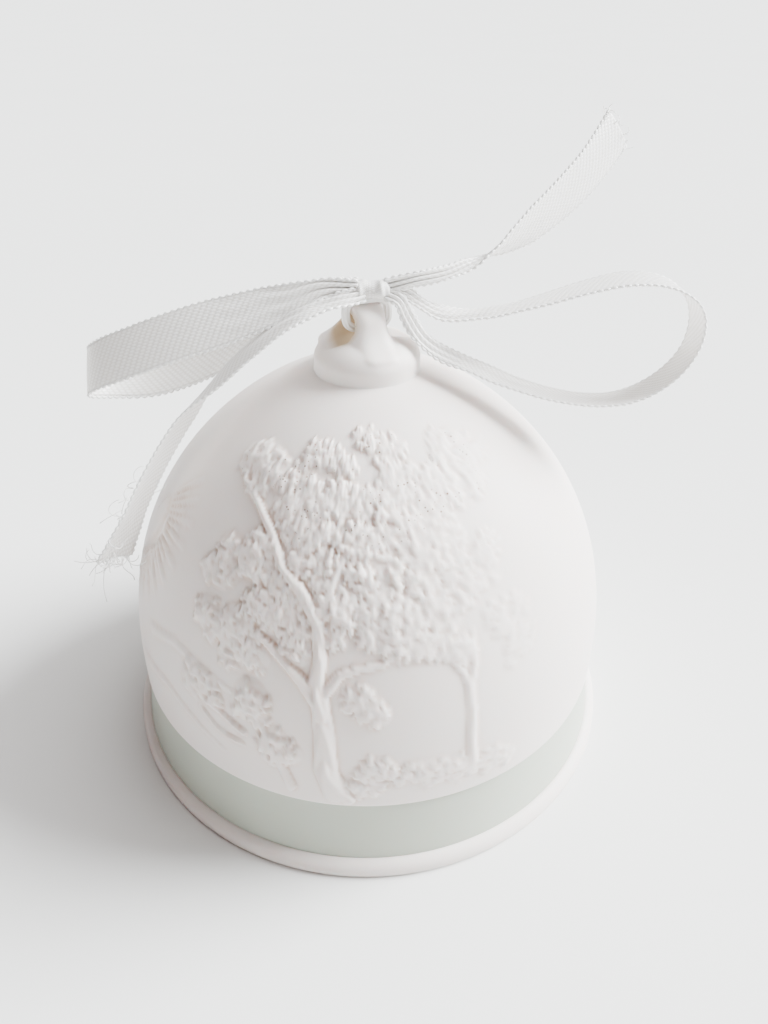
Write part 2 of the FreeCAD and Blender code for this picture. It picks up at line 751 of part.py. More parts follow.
SUB_PARTS = [
    bell_shell, slip_band, crown_button, hanging_loop,
    ribbon_neck, ribbon_knot, ribbon_loop_left, ribbon_tail_left, ribbon_loop_right,
    ribbon_tail_right,
    anchor_plug, clapper_staple, link_ring, clapper_wire, clapper_bead, stop_washer,
]

doc.recompute()
for item in doc.Objects:
    if "Invalid" in item.State or "Error" in item.State:
        raise RuntimeError("%s is %s" % (item.Label, item.State))
for item in SUB_PARTS:
    if item.Shape.isNull() or not item.Shape.isValid():
        raise RuntimeError("%s has no valid shape" % item.Label)

print("joints: staple %.3f, link %.3f, bow %.3f" % (STAPLE_PIVOT, LINK_PIVOT, LOOP_CENTRE))
os.makedirs("parts", exist_ok=True)
for item in SUB_PARTS:
    item.Shape.exportStep("parts/%s.step" % item.Label)
    print("%s: volume %.2f" % (item.Label, item.Shape.Volume))
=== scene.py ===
"""Bisque porcelain bell ornament with a country relief, a slip band and a picot ribbon bow."""
import json
import logging
import math
import random
from dataclasses import dataclass, field
from enum import Enum
from typing import Callable, Sequence

import bmesh
import bpy
import numpy as np
from mathutils import Euler, Matrix, Vector, kdtree


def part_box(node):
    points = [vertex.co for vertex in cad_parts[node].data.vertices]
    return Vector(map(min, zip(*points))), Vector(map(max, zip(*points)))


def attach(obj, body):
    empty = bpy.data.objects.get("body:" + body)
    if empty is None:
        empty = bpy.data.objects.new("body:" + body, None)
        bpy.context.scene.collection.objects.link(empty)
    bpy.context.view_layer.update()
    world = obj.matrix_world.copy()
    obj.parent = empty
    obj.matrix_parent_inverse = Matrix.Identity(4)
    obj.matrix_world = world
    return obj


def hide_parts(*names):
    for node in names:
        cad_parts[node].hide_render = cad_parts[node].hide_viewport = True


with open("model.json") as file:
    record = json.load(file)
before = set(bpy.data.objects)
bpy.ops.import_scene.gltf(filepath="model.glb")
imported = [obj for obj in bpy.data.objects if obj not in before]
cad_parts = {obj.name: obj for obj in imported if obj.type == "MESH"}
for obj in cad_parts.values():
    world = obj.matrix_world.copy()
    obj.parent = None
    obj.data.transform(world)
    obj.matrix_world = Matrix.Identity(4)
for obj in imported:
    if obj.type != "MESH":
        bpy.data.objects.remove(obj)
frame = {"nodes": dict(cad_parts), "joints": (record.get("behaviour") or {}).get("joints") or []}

logging.basicConfig(level=logging.INFO, format="%(message)s")
LOG = logging.getLogger("bell")

MM = 0.001
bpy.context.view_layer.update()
Point = tuple[float, float, float]


# ---------------------------------------------------------------- bench: shared mesh work


class Facing(Enum):
    """Which faces of a finished mesh are shaded smooth."""

    SMOOTH = "smooth"
    BY_ANGLE = "by angle"


class Bench:
    """Mesh operations that every piece goes through, as on a modeller's bench."""

    @staticmethod
    def clear_selection() -> None:
        """Leave edit mode and deselect every object."""
        if bpy.context.object and bpy.context.object.mode != "OBJECT":
            bpy.ops.object.mode_set(mode="OBJECT")
        bpy.ops.object.select_all(action="DESELECT")

    @staticmethod
    def hold(piece: bpy.types.Object) -> None:
        """Make one object the selected and active one."""
        Bench.clear_selection()
        piece.select_set(True)
        bpy.context.view_layer.objects.active = piece

    @staticmethod
    def take_new(name: str) -> bpy.types.Object:
        """Name the primitive that was just added.

        Args:
            name: The piece's name.

        Returns:
            The new object, active and in object mode.
        """
        piece = bpy.context.object
        piece.name = name
        piece.data.name = name
        return piece

    @staticmethod
    def settle(piece: bpy.types.Object) -> None:
        """Apply the object's own place to its mesh, so that the object sits at the origin."""
        Bench.hold(piece)
        bpy.ops.object.transform_apply(location=True, rotation=True, scale=True)

    @staticmethod
    def apply_modifiers(piece: bpy.types.Object) -> None:
        """Apply every modifier of a piece, first to last."""
        Bench.hold(piece)
        for modifier in list(piece.modifiers):
            bpy.ops.object.modifier_apply(modifier=modifier.name)

    @staticmethod
    def smooth(piece: bpy.types.Object, facing: Facing = Facing.SMOOTH, angle: float = 40.0) -> None:
        """Shade a piece smooth, all over or up to an angle in degrees."""
        Bench.hold(piece)
        if facing is Facing.SMOOTH:
            bpy.ops.object.shade_smooth()
        else:
            bpy.ops.object.shade_smooth_by_angle(angle=math.radians(angle))

    @staticmethod
    def face_outwards(piece: bpy.types.Object, merge: float = 1e-7) -> None:
        """Merge doubled points, then turn every face of a closed piece outwards."""
        Bench.hold(piece)
        bpy.ops.object.mode_set(mode="EDIT")
        bpy.ops.mesh.select_all(action="SELECT")
        bpy.ops.mesh.remove_doubles(threshold=merge)
        bpy.ops.mesh.normals_make_consistent(inside=False)
        bpy.ops.object.mode_set(mode="OBJECT")

    @staticmethod
    def join(name: str, pieces: Sequence[bpy.types.Object]) -> bpy.types.Object:
        """Join several pieces into the first.

        Args:
            name: Name of the joined piece.
            pieces: The pieces, each with its own mesh.

        Returns:
            The joined object.
        """
        Bench.clear_selection()
        for piece in pieces:
            piece.select_set(True)
        bpy.context.view_layer.objects.active = pieces[0]
        if len(pieces) > 1:
            bpy.ops.object.join()
        return Bench.take_new(name)

    @staticmethod
    def turn_outline(name: str, outline: Sequence[tuple[float, float]], steps: int) -> bpy.types.Object:
        """Extrude a line of points in the XZ plane and spin it about Z.

        Args:
            name: The piece's name.
            outline: Radius and height of each point, in metres.
            steps: Number of columns round the turn.

        Returns:
            The turned object, with doubled points merged.
        """
        Bench.clear_selection()
        bpy.ops.mesh.primitive_plane_add(size=0.001, location=(0, 0, 0))
        piece = Bench.take_new(name)
        bpy.ops.object.mode_set(mode="EDIT")
        bpy.ops.mesh.select_all(action="SELECT")
        bpy.ops.mesh.merge(type="CENTER")
        bpy.ops.transform.translate(value=(outline[0][0], 0, outline[0][1]))
        for (across, up), (next_across, next_up) in zip(outline, outline[1:]):
            step = (next_across - across, 0, next_up - up)
            bpy.ops.mesh.extrude_region_move(TRANSFORM_OT_translate={"value": step})
        bpy.ops.mesh.select_all(action="SELECT")
        bpy.ops.mesh.spin(steps=steps, angle=math.tau, center=(0, 0, 0), axis=(0, 0, 1))
        bpy.ops.mesh.select_all(action="SELECT")
        bpy.ops.mesh.remove_doubles(threshold=2e-7)
        bpy.ops.object.mode_set(mode="OBJECT")
        return piece

    @staticmethod
    def points_of(piece: bpy.types.Object) -> np.ndarray:
        """The mesh's points as an array of rows."""
        flat = np.zeros(len(piece.data.vertices) * 3)
        piece.data.vertices.foreach_get("co", flat)
        return flat.reshape(-1, 3)

    @staticmethod
    def set_points(piece: bpy.types.Object, points: np.ndarray) -> None:
        """Move the mesh's points to the rows of an array."""
        piece.data.vertices.foreach_set("co", points.reshape(-1))
        piece.data.update()

    @staticmethod
    def normals_of(piece: bpy.types.Object) -> np.ndarray:
        """The outward direction at each of the mesh's points."""
        flat = np.zeros(len(piece.data.vertices) * 3)
        piece.data.vertices.foreach_get("normal", flat)
        return flat.reshape(-1, 3)

    @staticmethod
    def corners_of(piece: bpy.types.Object) -> np.ndarray:
        """Which point each face corner belongs to."""
        corners = np.zeros(len(piece.data.loops), dtype=int)
        piece.data.loops.foreach_get("vertex_index", corners)
        return corners

    @staticmethod
    def set_uv(piece: bpy.types.Object, uv: np.ndarray) -> None:
        """Give each face corner its place on the cloth, in metres."""
        layer = piece.data.uv_layers[0] if piece.data.uv_layers else piece.data.uv_layers.new()
        layer.data.foreach_set("uv", uv.reshape(-1))

    @staticmethod
    def mark(piece: bpy.types.Object, name: str, values: np.ndarray) -> None:
        """Store a number at each point, for a finish to read."""
        layer = piece.data.attributes.new(name, "FLOAT", "POINT")
        layer.data.foreach_set("value", values.astype(np.float32))

    @staticmethod
    def coat(piece: bpy.types.Object, material: bpy.types.Material) -> None:
        """Give a piece one material."""
        piece.data.materials.clear()
        piece.data.materials.append(material)

    @staticmethod
    def ringed_cylinder(name: str, sides: int, rings: int) -> bpy.types.Object:
        """A capped cylinder of unit height and radius, with rings of points between its ends."""
        Bench.clear_selection()
        bpy.ops.mesh.primitive_cylinder_add(vertices=sides, radius=1.0, depth=1.0, end_fill_type="NGON")
        piece = Bench.take_new(name)
        bpy.ops.object.mode_set(mode="EDIT")
        bpy.ops.mesh.select_all(action="DESELECT")
        form = bmesh.from_edit_mesh(piece.data)
        uprights = [edge for edge in form.edges if abs(edge.verts[0].co.z - edge.verts[1].co.z) > 0.5]
        bmesh.ops.subdivide_edges(form, edges=uprights, cuts=rings, use_grid_fill=True)
        bmesh.update_edit_mesh(piece.data)
        bpy.ops.object.mode_set(mode="OBJECT")
        return piece

    @staticmethod
    def sheet_of(name: str, rows: np.ndarray, across: np.ndarray, along: np.ndarray) -> bpy.types.Object:
        """A grid of faces with a UV map in metres.

        Args:
            name: The piece's name.
            rows: Points, shaped (stations, lanes, 3).
            across: Distance across the cloth for each lane.
            along: Distance along the cloth for each station.

        Returns:
            The new object.
        """
        stations, lanes, _ = rows.shape
        Bench.clear_selection()
        bpy.ops.mesh.primitive_grid_add(
            x_subdivisions=lanes - 1, y_subdivisions=stations - 1, size=1.0, location=(0, 0, 0)
        )
        piece = Bench.take_new(name)
        flat = Bench.points_of(piece)
        lane = np.rint((flat[:, 0] + 0.5) * (lanes - 1)).astype(int)
        station = np.rint((flat[:, 1] + 0.5) * (stations - 1)).astype(int)
        Bench.set_points(piece, rows[station, lane])
        corners = Bench.corners_of(piece)
        Bench.set_uv(piece, np.stack([across[lane[corners]], along[station[corners]]], axis=1))
        return piece

    @staticmethod
    def tube_of(
        name: str,
        line: np.ndarray,
        radii: np.ndarray,
        sides: int = 6,
        ridges: int = 0,
        ridge_depth: float = 0.0,
    ) -> bpy.types.Object:
        """A closed tube along a line of points.

        Args:
            name: The piece's name.
            line: Points, one row each.
            radii: Radius at each point.
            sides: Corners of the section.
            ridges: Number of pleats round the section.
            ridge_depth: Depth of a pleat as a share of the radius.

        Returns:
            The new object, capped at both ends.
        """
        stations = len(line)
        piece = Bench.ringed_cylinder(name, sides, stations - 2)
        flat = Bench.points_of(piece)
        station = np.rint((flat[:, 2] + 0.5) * (stations - 1)).astype(int)
        angle = np.arctan2(flat[:, 1], flat[:, 0])
        side, over = Bench.frames_along(line)
        reach = radii[station] * (1 + ridge_depth * np.cos(ridges * angle))
        offset = side[station] * np.cos(angle)[:, None] + over[station] * np.sin(angle)[:, None]
        Bench.set_points(piece, line[station] + offset * reach[:, None])
        return piece

    @staticmethod
    def tangents_of(line: np.ndarray) -> np.ndarray:
        """The direction of a line at each of its points."""
        tangents = np.gradient(line, axis=0)
        return tangents / np.linalg.norm(tangents, axis=1)[:, None]

    @staticmethod
    def frames_along(line: np.ndarray) -> tuple[np.ndarray, np.ndarray]:
        """Two directions square to a line at each point, carried along without twist.

        Args:
            line: Points, one row each.

        Returns:
            The side directions and the over directions.
        """
        tangents = Bench.tangents_of(line)
        start = np.array([0.0, 0.0, 1.0])
        if abs(tangents[0] @ start) > 0.9:
            start = np.array([0.0, 1.0, 0.0])
        side = np.zeros_like(line)
        current = start
        for index, tangent in enumerate(tangents):
            current = current - tangent * (current @ tangent)
            current = current / np.linalg.norm(current)
            side[index] = current
        return side, np.cross(tangents, side)


# ---------------------------------------------------------------- finishes


class Graph:
    """A node tree with short calls for adding nodes and joining sockets."""

    def __init__(self, tree: bpy.types.NodeTree) -> None:
        """Keep the tree that the calls work on."""
        self.tree = tree

    def add(self, kind: str, settings: dict | None = None, **inputs: object) -> bpy.types.Node:
        """Add a node.

        Args:
            kind: The node's class name without its ShaderNode prefix.
            settings: Properties of the node itself.
            inputs: Socket values or sockets to join, by socket name with spaces as underscores.

        Returns:
            The new node.
        """
        node = self.tree.nodes.new("ShaderNode" + kind)
        for key, value in (settings or {}).items():
            setattr(node, key, value)
        for key, value in inputs.items():
            self.feed(node, key.replace("_", " "), value)
        return node

    def feed(self, node: bpy.types.Node, socket: str | int, value: object) -> None:
        """Set a socket's value, or join another node's socket to it."""
        target = node.inputs[socket]
        if isinstance(value, bpy.types.NodeSocket):
            self.tree.links.new(value, target)
        else:
            target.default_value = value

    def maths(self, operation: str, first: object, second: object = 0.0) -> bpy.types.NodeSocket:
        """A math node's result."""
        node = self.add("Math", {"operation": operation})
        self.feed(node, 0, first)
        self.feed(node, 1, second)
        return node.outputs[0]

    def blend(self, share: object, first: object, second: object) -> bpy.types.NodeSocket:
        """A colour between two colours."""
        node = self.add("Mix", {"data_type": "RGBA"})
        self.feed(node, 0, share)
        self.feed(node, 6, first)
        self.feed(node, 7, second)
        return node.outputs[2]

    def spread(
        self, value: object, low: float, high: float, new_low: float, new_high: float
    ) -> bpy.types.NodeSocket:
        """A value moved from one range to another and held inside it."""
        node = self.add("MapRange", {"clamp": True})
        for index, number in enumerate((value, low, high, new_low, new_high)):
            self.feed(node, index, number)
        return node.outputs[0]

    def bump(self, shader: bpy.types.Node, strength: float, depth: float, height: object) -> None:
        """Let a height tilt the shader's normal, over a depth in metres."""
        node = self.add("Bump", Strength=strength, Distance=depth, Height=height)
        self.feed(shader, "Normal", node.outputs["Normal"])


def shared_group(
    name: str, inputs: Sequence[tuple[str, str, object]], outputs: Sequence[tuple[str, str]],
    build: Callable[[Graph, bpy.types.Node, bpy.types.Node], None],
) -> bpy.types.NodeTree:
    """A shader node group that several finishes use.

    Args:
        name: The group's name.
        inputs: Name, socket type and default of each input.
        outputs: Name and socket type of each output.
        build: Fills the group, given its graph, its input node and its output node.

    Returns:
        The group's tree.
    """
    tree = bpy.data.node_groups.new(name, "ShaderNodeTree")
    for label, kind, default in inputs:
        socket = tree.interface.new_socket(name=label, in_out="INPUT", socket_type=kind)
        socket.default_value = default
    for label, kind in outputs:
        tree.interface.new_socket(name=label, in_out="OUTPUT", socket_type=kind)
    graph = Graph(tree)
    build(graph, tree.nodes.new("NodeGroupInput"), tree.nodes.new("NodeGroupOutput"))
    return tree


def fill_fine_grain(graph: Graph, given: bpy.types.Node, result: bpy.types.Node) -> None:
    """Fired clay: fine grain over slow unevenness, as a height and a tone."""
    place = graph.add("TexCoord").outputs["Object"]
    grain = graph.add(
        "TexNoise", Vector=place, Detail=3.0, Roughness=0.6, Scale=given.outputs["Grain Scale"]
    )
    slow = graph.add("TexNoise", Vector=place, Detail=2.0, Scale=given.outputs["Cloud Scale"])
    grain_part = graph.maths("MULTIPLY", grain.outputs["Fac"], given.outputs["Grain Depth"])
    slow_part = graph.maths("MULTIPLY", slow.outputs["Fac"], given.outputs["Cloud Depth"])
    height = graph.maths("ADD", grain_part, slow_part)
    graph.tree.links.new(height, result.inputs["Height"])
    graph.tree.links.new(slow.outputs["Fac"], result.inputs["Tone"])


def fill_specks(graph: Graph, given: bpy.types.Node, result: bpy.types.Node) -> None:
    """Small iron specks that cluster where the amount is high."""
    place = graph.add("TexCoord").outputs["Object"]
    cells = graph.add("TexVoronoi", Vector=place, Scale=given.outputs["Scale"], Randomness=1.0)
    patch = graph.add("TexNoise", Vector=place, Scale=260.0, Detail=2.0)
    near = graph.spread(cells.outputs["Distance"], 0.13, 0.22, 1.0, 0.0)
    chosen = graph.spread(patch.outputs["Fac"], 0.50, 0.54, 0.0, 1.0)
    both = graph.maths("MULTIPLY", near, chosen)
    graph.tree.links.new(graph.maths("MULTIPLY", both, given.outputs["Amount"]), result.inputs["Mask"])


def fill_weave(graph: Graph, given: bpy.types.Node, result: bpy.types.Node) -> None:
    """Satin weave on a UV map in metres: long warp floats stepped from pick to pick."""
    split = graph.add("SeparateXYZ", Vector=graph.add("UVMap").outputs["UV"])
    across = graph.maths("MULTIPLY", split.outputs[0], given.outputs["Ends Per Metre"])
    along = graph.maths("MULTIPLY", split.outputs[1], given.outputs["Picks Per Metre"])
    end_index = graph.maths("FLOOR", across)
    step = graph.maths("MULTIPLY", end_index, 0.3)
    shifted = graph.maths("FRACT", graph.maths("ADD", graph.maths("MULTIPLY", along, 0.2), step))
    off_middle = graph.maths("ABSOLUTE", graph.maths("SUBTRACT", shifted, 0.5))
    dip = graph.spread(off_middle, 0.14, 0.46, 1.0, 0.0)
    yarn = graph.maths("ABSOLUTE", graph.maths("SINE", graph.maths("MULTIPLY", across, math.pi)))
    height = graph.maths("MULTIPLY", graph.maths("POWER", yarn, 0.6), dip)
    graph.tree.links.new(height, result.inputs["Height"])
    graph.tree.links.new(dip, result.inputs["Float"])


FINE_GRAIN = shared_group(
    "fired clay grain",
    [
        ("Grain Scale", "NodeSocketFloat", 4000.0),
        ("Grain Depth", "NodeSocketFloat", 0.5),
        ("Cloud Scale", "NodeSocketFloat", 90.0),
        ("Cloud Depth", "NodeSocketFloat", 0.5),
    ],
    [("Height", "NodeSocketFloat"), ("Tone", "NodeSocketFloat")],
    fill_fine_grain,
)
SPECKS = shared_group(
    "iron specks",
    [("Scale", "NodeSocketFloat", 900.0), ("Amount", "NodeSocketFloat", 1.0)],
    [("Mask", "NodeSocketFloat")],
    fill_specks,
)
WEAVE = shared_group(
    "satin weave",
    [("Ends Per Metre", "NodeSocketFloat", 3600.0), ("Picks Per Metre", "NodeSocketFloat", 3000.0)],
    [("Height", "NodeSocketFloat"), ("Float", "NodeSocketFloat")],
    fill_weave,
)


def set_sockets(shader: bpy.types.Node, **values: object) -> None:
    """Set the shader's own sockets, by name with spaces as underscores."""
    for name, value in values.items():
        shader.inputs[name.replace("_", " ")].default_value = value


def new_material(name: str) -> tuple[bpy.types.Material, Graph, bpy.types.Node]:
    """A material with one Principled shader.

    Args:
        name: The material's name.

    Returns:
        The material, its graph and its shader node.
    """
    material = bpy.data.materials.new(name)
    material.use_nodes = True
    return material, Graph(material.node_tree), material.node_tree.nodes["Principled BSDF"]


@dataclass(frozen=True)
class FiredClay:
    """Unglazed porcelain or coloured slip: matte, faintly grained, with painted shade in its hollows."""

    name: str
    colour: tuple[float, float, float, float]
    ridge_colour: tuple[float, float, float, float]
    # Colour of the painted shade in the relief's hollows.
    painted_shade_colour: tuple[float, float, float, float] = (0.62, 0.43, 0.32, 1.0)
    speck_colour: tuple[float, float, float, float] = (0.20, 0.11, 0.06, 1.0)
    roughness: float = 0.52
    grain_depth: float = 0.35
    relief: bool = False

    def build(self) -> bpy.types.Material:
        """Make the material."""
        material, graph, shader = new_material(self.name)
        grain = graph.add("Group", {"node_tree": FINE_GRAIN}, Grain_Scale=5200.0, Cloud_Scale=70.0)
        tone = graph.spread(grain.outputs["Tone"], 0.35, 0.65, 0.0, 0.35)
        colour = graph.blend(tone, self.colour, self.ridge_colour)
        if self.relief:
            # Painted shade: colour darkened towards a brown-pink shade colour where a stored mask marks the
            # relief's hollows and the loop's bore.
            painted_shade = graph.add("Attribute", {"attribute_name": "painted_shade"}).outputs["Fac"]
            speckled = graph.add("Attribute", {"attribute_name": "speckled"}).outputs["Fac"]
            colour = graph.blend(painted_shade, colour, self.painted_shade_colour)
            specks = graph.add("Group", {"node_tree": SPECKS}, Scale=1500.0, Amount=speckled)
            colour = graph.blend(specks.outputs["Mask"], colour, self.speck_colour)
        graph.bump(shader, self.grain_depth, 0.04 * MM, grain.outputs["Height"])
        graph.feed(shader, "Base Color", colour)
        rough = graph.spread(grain.outputs["Tone"], 0.3, 0.7, self.roughness - 0.05, self.roughness + 0.06)
        graph.feed(shader, "Roughness", rough)
        set_sockets(
            shader, Specular_IOR_Level=0.35, Subsurface_Weight=0.3,
            Subsurface_Radius=(1.0, 0.6, 0.45), Subsurface_Scale=1.2 * MM,
        )
        return material


@dataclass(frozen=True)
class SatinCloth:
    """Off-white satin ribbon: painted highlights on the warp floats, painted shade in the dips between
    picks, a soft sheen.
    """

    name: str
    colour: tuple[float, float, float, float] = (0.99, 0.98, 0.965, 1.0)
    # Painted shade colour of the weave's dips; for unwoven thread, the darker end of its random fibre tone.
    dip_shade_and_fibre_colour: tuple[float, float, float, float] = (0.76, 0.73, 0.70, 1.0)
    weave_depth: float = 0.45
    woven: bool = True

    def build(self) -> bpy.types.Material:
        """Make the material."""
        material, graph, shader = new_material(self.name)
        if self.woven:
            weave = graph.add(
                "Group", {"node_tree": WEAVE}, Ends_Per_Metre=2700.0, Picks_Per_Metre=5600.0
            )
            # Painted light: colour runs from the painted shade of the dips up to painted highlights on the
            # float tops.
            colour = graph.blend(weave.outputs["Height"], self.dip_shade_and_fibre_colour, self.colour)
            graph.bump(shader, self.weave_depth, 0.08 * MM, weave.outputs["Height"])
            rough = graph.spread(weave.outputs["Float"], 0.0, 1.0, 0.55, 0.30)
        else:
            place = graph.add("TexCoord").outputs["Object"]
            fibre = graph.add("TexNoise", Vector=place, Scale=6000.0, Detail=2.0)
            colour = graph.blend(fibre.outputs["Fac"], self.dip_shade_and_fibre_colour, self.colour)
            graph.bump(shader, 0.3, 0.05 * MM, fibre.outputs["Fac"])
            rough = graph.spread(fibre.outputs["Fac"], 0.3, 0.7, 0.30, 0.50)
        graph.feed(shader, "Base Color", colour)
        graph.feed(shader, "Roughness", rough)
        set_sockets(
            shader, Specular_IOR_Level=0.85, Sheen_Weight=0.25, Sheen_Roughness=0.4,
            Subsurface_Weight=0.25, Subsurface_Radius=(1.0, 0.95, 0.85), Subsurface_Scale=0.6 * MM,
        )
        return material


@dataclass(frozen=True)
class DrawnBrass:
    """Dull drawn brass wire with fine lengthwise scratches and darker tarnish."""

    name: str = "drawn brass"
    colour: tuple[float, float, float, float] = (0.62, 0.46, 0.22, 1.0)
    tarnish: tuple[float, float, float, float] = (0.30, 0.20, 0.10, 1.0)

    def build(self) -> bpy.types.Material:
        """Make the material."""
        material, graph, shader = new_material(self.name)
        place = graph.add("TexCoord").outputs["Object"]
        stretched = graph.add("Mapping", Vector=place, Scale=(1.0, 1.0, 0.08))
        scratch = graph.add("TexNoise", Vector=stretched.outputs["Vector"], Scale=9000.0, Detail=2.0)
        patch = graph.add("TexNoise", Vector=place, Scale=420.0, Detail=4.0)
        cover = graph.spread(patch.outputs["Fac"], 0.45, 0.70, 0.0, 0.8)
        graph.feed(shader, "Base Color", graph.blend(cover, self.colour, self.tarnish))
        graph.feed(shader, "Roughness", graph.spread(patch.outputs["Fac"], 0.3, 0.7, 0.28, 0.52))
        graph.bump(shader, 0.25, 0.02 * MM, scratch.outputs["Fac"])
        set_sockets(shader, Metallic=1.0)
        return material


BISQUE = FiredClay(
    "bisque porcelain",
    colour=(0.86, 0.785, 0.75, 1.0),
    ridge_colour=(0.88, 0.835, 0.81, 1.0),
    relief=True,
)
PLAIN_BISQUE = FiredClay(
    "plain bisque",
    colour=(0.86, 0.795, 0.76, 1.0),
    # Browner painted shade, used inside the loop's bore.
    painted_shade_colour=(0.55, 0.40, 0.22, 1.0),
    ridge_colour=(0.88, 0.84, 0.81, 1.0),
    relief=True,
)
GREEN_SLIP = FiredClay(
    "green slip",
    colour=(0.50, 0.535, 0.455, 1.0),
    ridge_colour=(0.55, 0.58, 0.50, 1.0),
    roughness=0.48,
)
CEMENT = FiredClay(
    "bonding cement",
    colour=(0.62, 0.58, 0.52, 1.0),
    ridge_colour=(0.70, 0.67, 0.61, 1.0),
    roughness=0.75,
    grain_depth=1.0,
)
RIBBON_SATIN = SatinCloth("ribbon satin")
RIBBON_THREAD = SatinCloth(
    "selvedge thread", colour=(0.99, 0.985, 0.97, 1.0), dip_shade_and_fibre_colour=(0.88, 0.86, 0.83, 1.0), woven=False
)


def dress(piece: bpy.types.Object, material: bpy.types.Material, body: str) -> bpy.types.Object:
    """Give a piece its material and the body that it rides on."""
    Bench.coat(piece, material)
    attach(piece, body)
    LOG.info("%s: %d faces on %s", piece.name, len(piece.data.polygons), body)
    return piece


# ---------------------------------------------------------------- camera and light


@dataclass
class Studio:
    """Plain pale floor, soft light and the camera."""

    eye: Point = (0.0, -0.10009, 0.10402)
    pitch: float = 34.54
    heading: float = 1.42
    roll: float = 0.4
    lens: float = 27.07
    sensor: float = 36.0
    clip: tuple[float, float] = (0.005, 60.0)
    floor_size: float = 40.0
    aim: Point = (0.0, 0.0, 0.035)

    def build(self) -> None:
        """Set the stage, the lights and the camera."""
        self.place_camera()
        self.lay_floor()
        self.hang_lights()

    def place_camera(self) -> None:
        """Add the camera at its eye point."""
        lens = bpy.data.cameras.new("camera")
        lens.lens = self.lens
        lens.sensor_width = self.sensor
        lens.clip_start, lens.clip_end = self.clip
        lens.dof.use_dof = False
        camera = bpy.data.objects.new("camera", lens)
        bpy.context.scene.collection.objects.link(camera)
        camera.location = self.eye
        look = Euler((math.radians(90 - self.pitch), 0, math.radians(-self.heading))).to_matrix()
        tilt = Matrix.Rotation(math.radians(self.roll), 3, "Z")
        camera.rotation_euler = (look @ tilt).to_euler()
        bpy.context.scene.camera = camera

    def lay_floor(self) -> None:
        """Add the pale floor under the rim."""
        Bench.clear_selection()
        bpy.ops.mesh.primitive_plane_add(size=self.floor_size, location=(0, 0, 0))
        floor = Bench.take_new("floor")
        material, graph, shader = new_material("pale board")
        place = graph.add("TexCoord").outputs["Object"]
        cloud = graph.add("TexNoise", Vector=place, Scale=6.0, Detail=2.0)
        colour = graph.blend(cloud.outputs["Fac"], (0.78, 0.78, 0.77, 1.0), (0.82, 0.82, 0.81, 1.0))
        graph.feed(shader, "Base Color", colour)
        set_sockets(shader, Roughness=0.7)
        floor.data.materials.append(material)

    def hang_lights(self) -> None:
        """Add two wide lights on the right and a dim warm sky."""
        self.soft_light("key", (0.64, 0.14, 0.48), 17.5, 34.0, (0.965, 1.0, 1.005))
        self.soft_light("top", (0.42, 0.24, 0.80), 4.2, 70.0, (0.98, 1.0, 1.01))
        world = bpy.data.worlds.new("pale sky")
        bpy.context.scene.world = world
        world.use_nodes = True
        background = world.node_tree.nodes["Background"]
        set_sockets(background, Color=(1.0, 0.81, 0.76, 1.0), Strength=0.24)

    def soft_light(self, name: str, place: Point, power: float, spread: float, colour: Point) -> None:
        """Add one even light that reaches the whole floor alike.

        Args:
            name: The light's name.
            place: A point on the line that the light comes along.
            power: Watts on each square metre.
            spread: How wide the light's source looks, in degrees.
            colour: The light's colour.
        """
        light = bpy.data.lights.new(name, "SUN")
        light.angle = math.radians(spread)
        light.energy = power
        light.color = colour
        lamp = bpy.data.objects.new(name, light)
        bpy.context.scene.collection.objects.link(lamp)
        lamp.location = place
        aim = Vector(self.aim) - Vector(place)
        lamp.rotation_euler = aim.to_track_quat("-Z", "Y").to_euler()


# ---------------------------------------------------------------- relief


@dataclass(frozen=True)
class Branch:
    """A raised limb on the bell: its line in degrees round from the front and millimetres up."""

    line: tuple[tuple[float, float], ...]
    width: tuple[float, float]
    height: float


@dataclass(frozen=True)
class Foliage:
    """A patch of overlapping leaves inside an ellipse of degrees and millimetres."""

    centre: tuple[float, float]
    reach: tuple[float, float]
    tufts: int
    height: float
    leaf: tuple[float, float] = (0.72, 0.40)
    leaves: int = 13


class Carving:
    """The dome's points with the height that each has been raised to so far."""

    def __init__(self, base: np.ndarray, on_dome: Callable[[float, float], Point]) -> None:
        """Start flat.

        Args:
            base: Points of the smooth dome, in metres.
            on_dome: Gives the place on the dome for degrees round and millimetres up.
        """
        self.base = base
        self.on_dome = on_dome
        self.heights = np.zeros(len(base))
        self.tree = kdtree.KDTree(len(base))
        for index, place in enumerate(base):
            self.tree.insert(place, index)
        self.tree.balance()

    def near(self, place: np.ndarray, reach: float) -> list[tuple[int, float]]:
        """The points within reach of a place, each with its distance."""
        return [(index, distance) for _, index, distance in self.tree.find_range(Vector(place), reach)]

    def lift(self, index: int, height: float) -> None:
        """Raise a point to a height, unless it is higher already."""
        self.heights[index] = max(self.heights[index], height)

    def ways_at(self, across: float, up: float) -> tuple[np.ndarray, np.ndarray, np.ndarray]:
        """A place on the dome and its directions eastwards and upwards along the surface."""
        centre = np.array(self.on_dome(across, up))
        east = np.array(self.on_dome(across + 0.5, up)) - centre
        north = np.array(self.on_dome(across, up + 0.3)) - centre
        return centre, east / np.linalg.norm(east), north / np.linalg.norm(north)


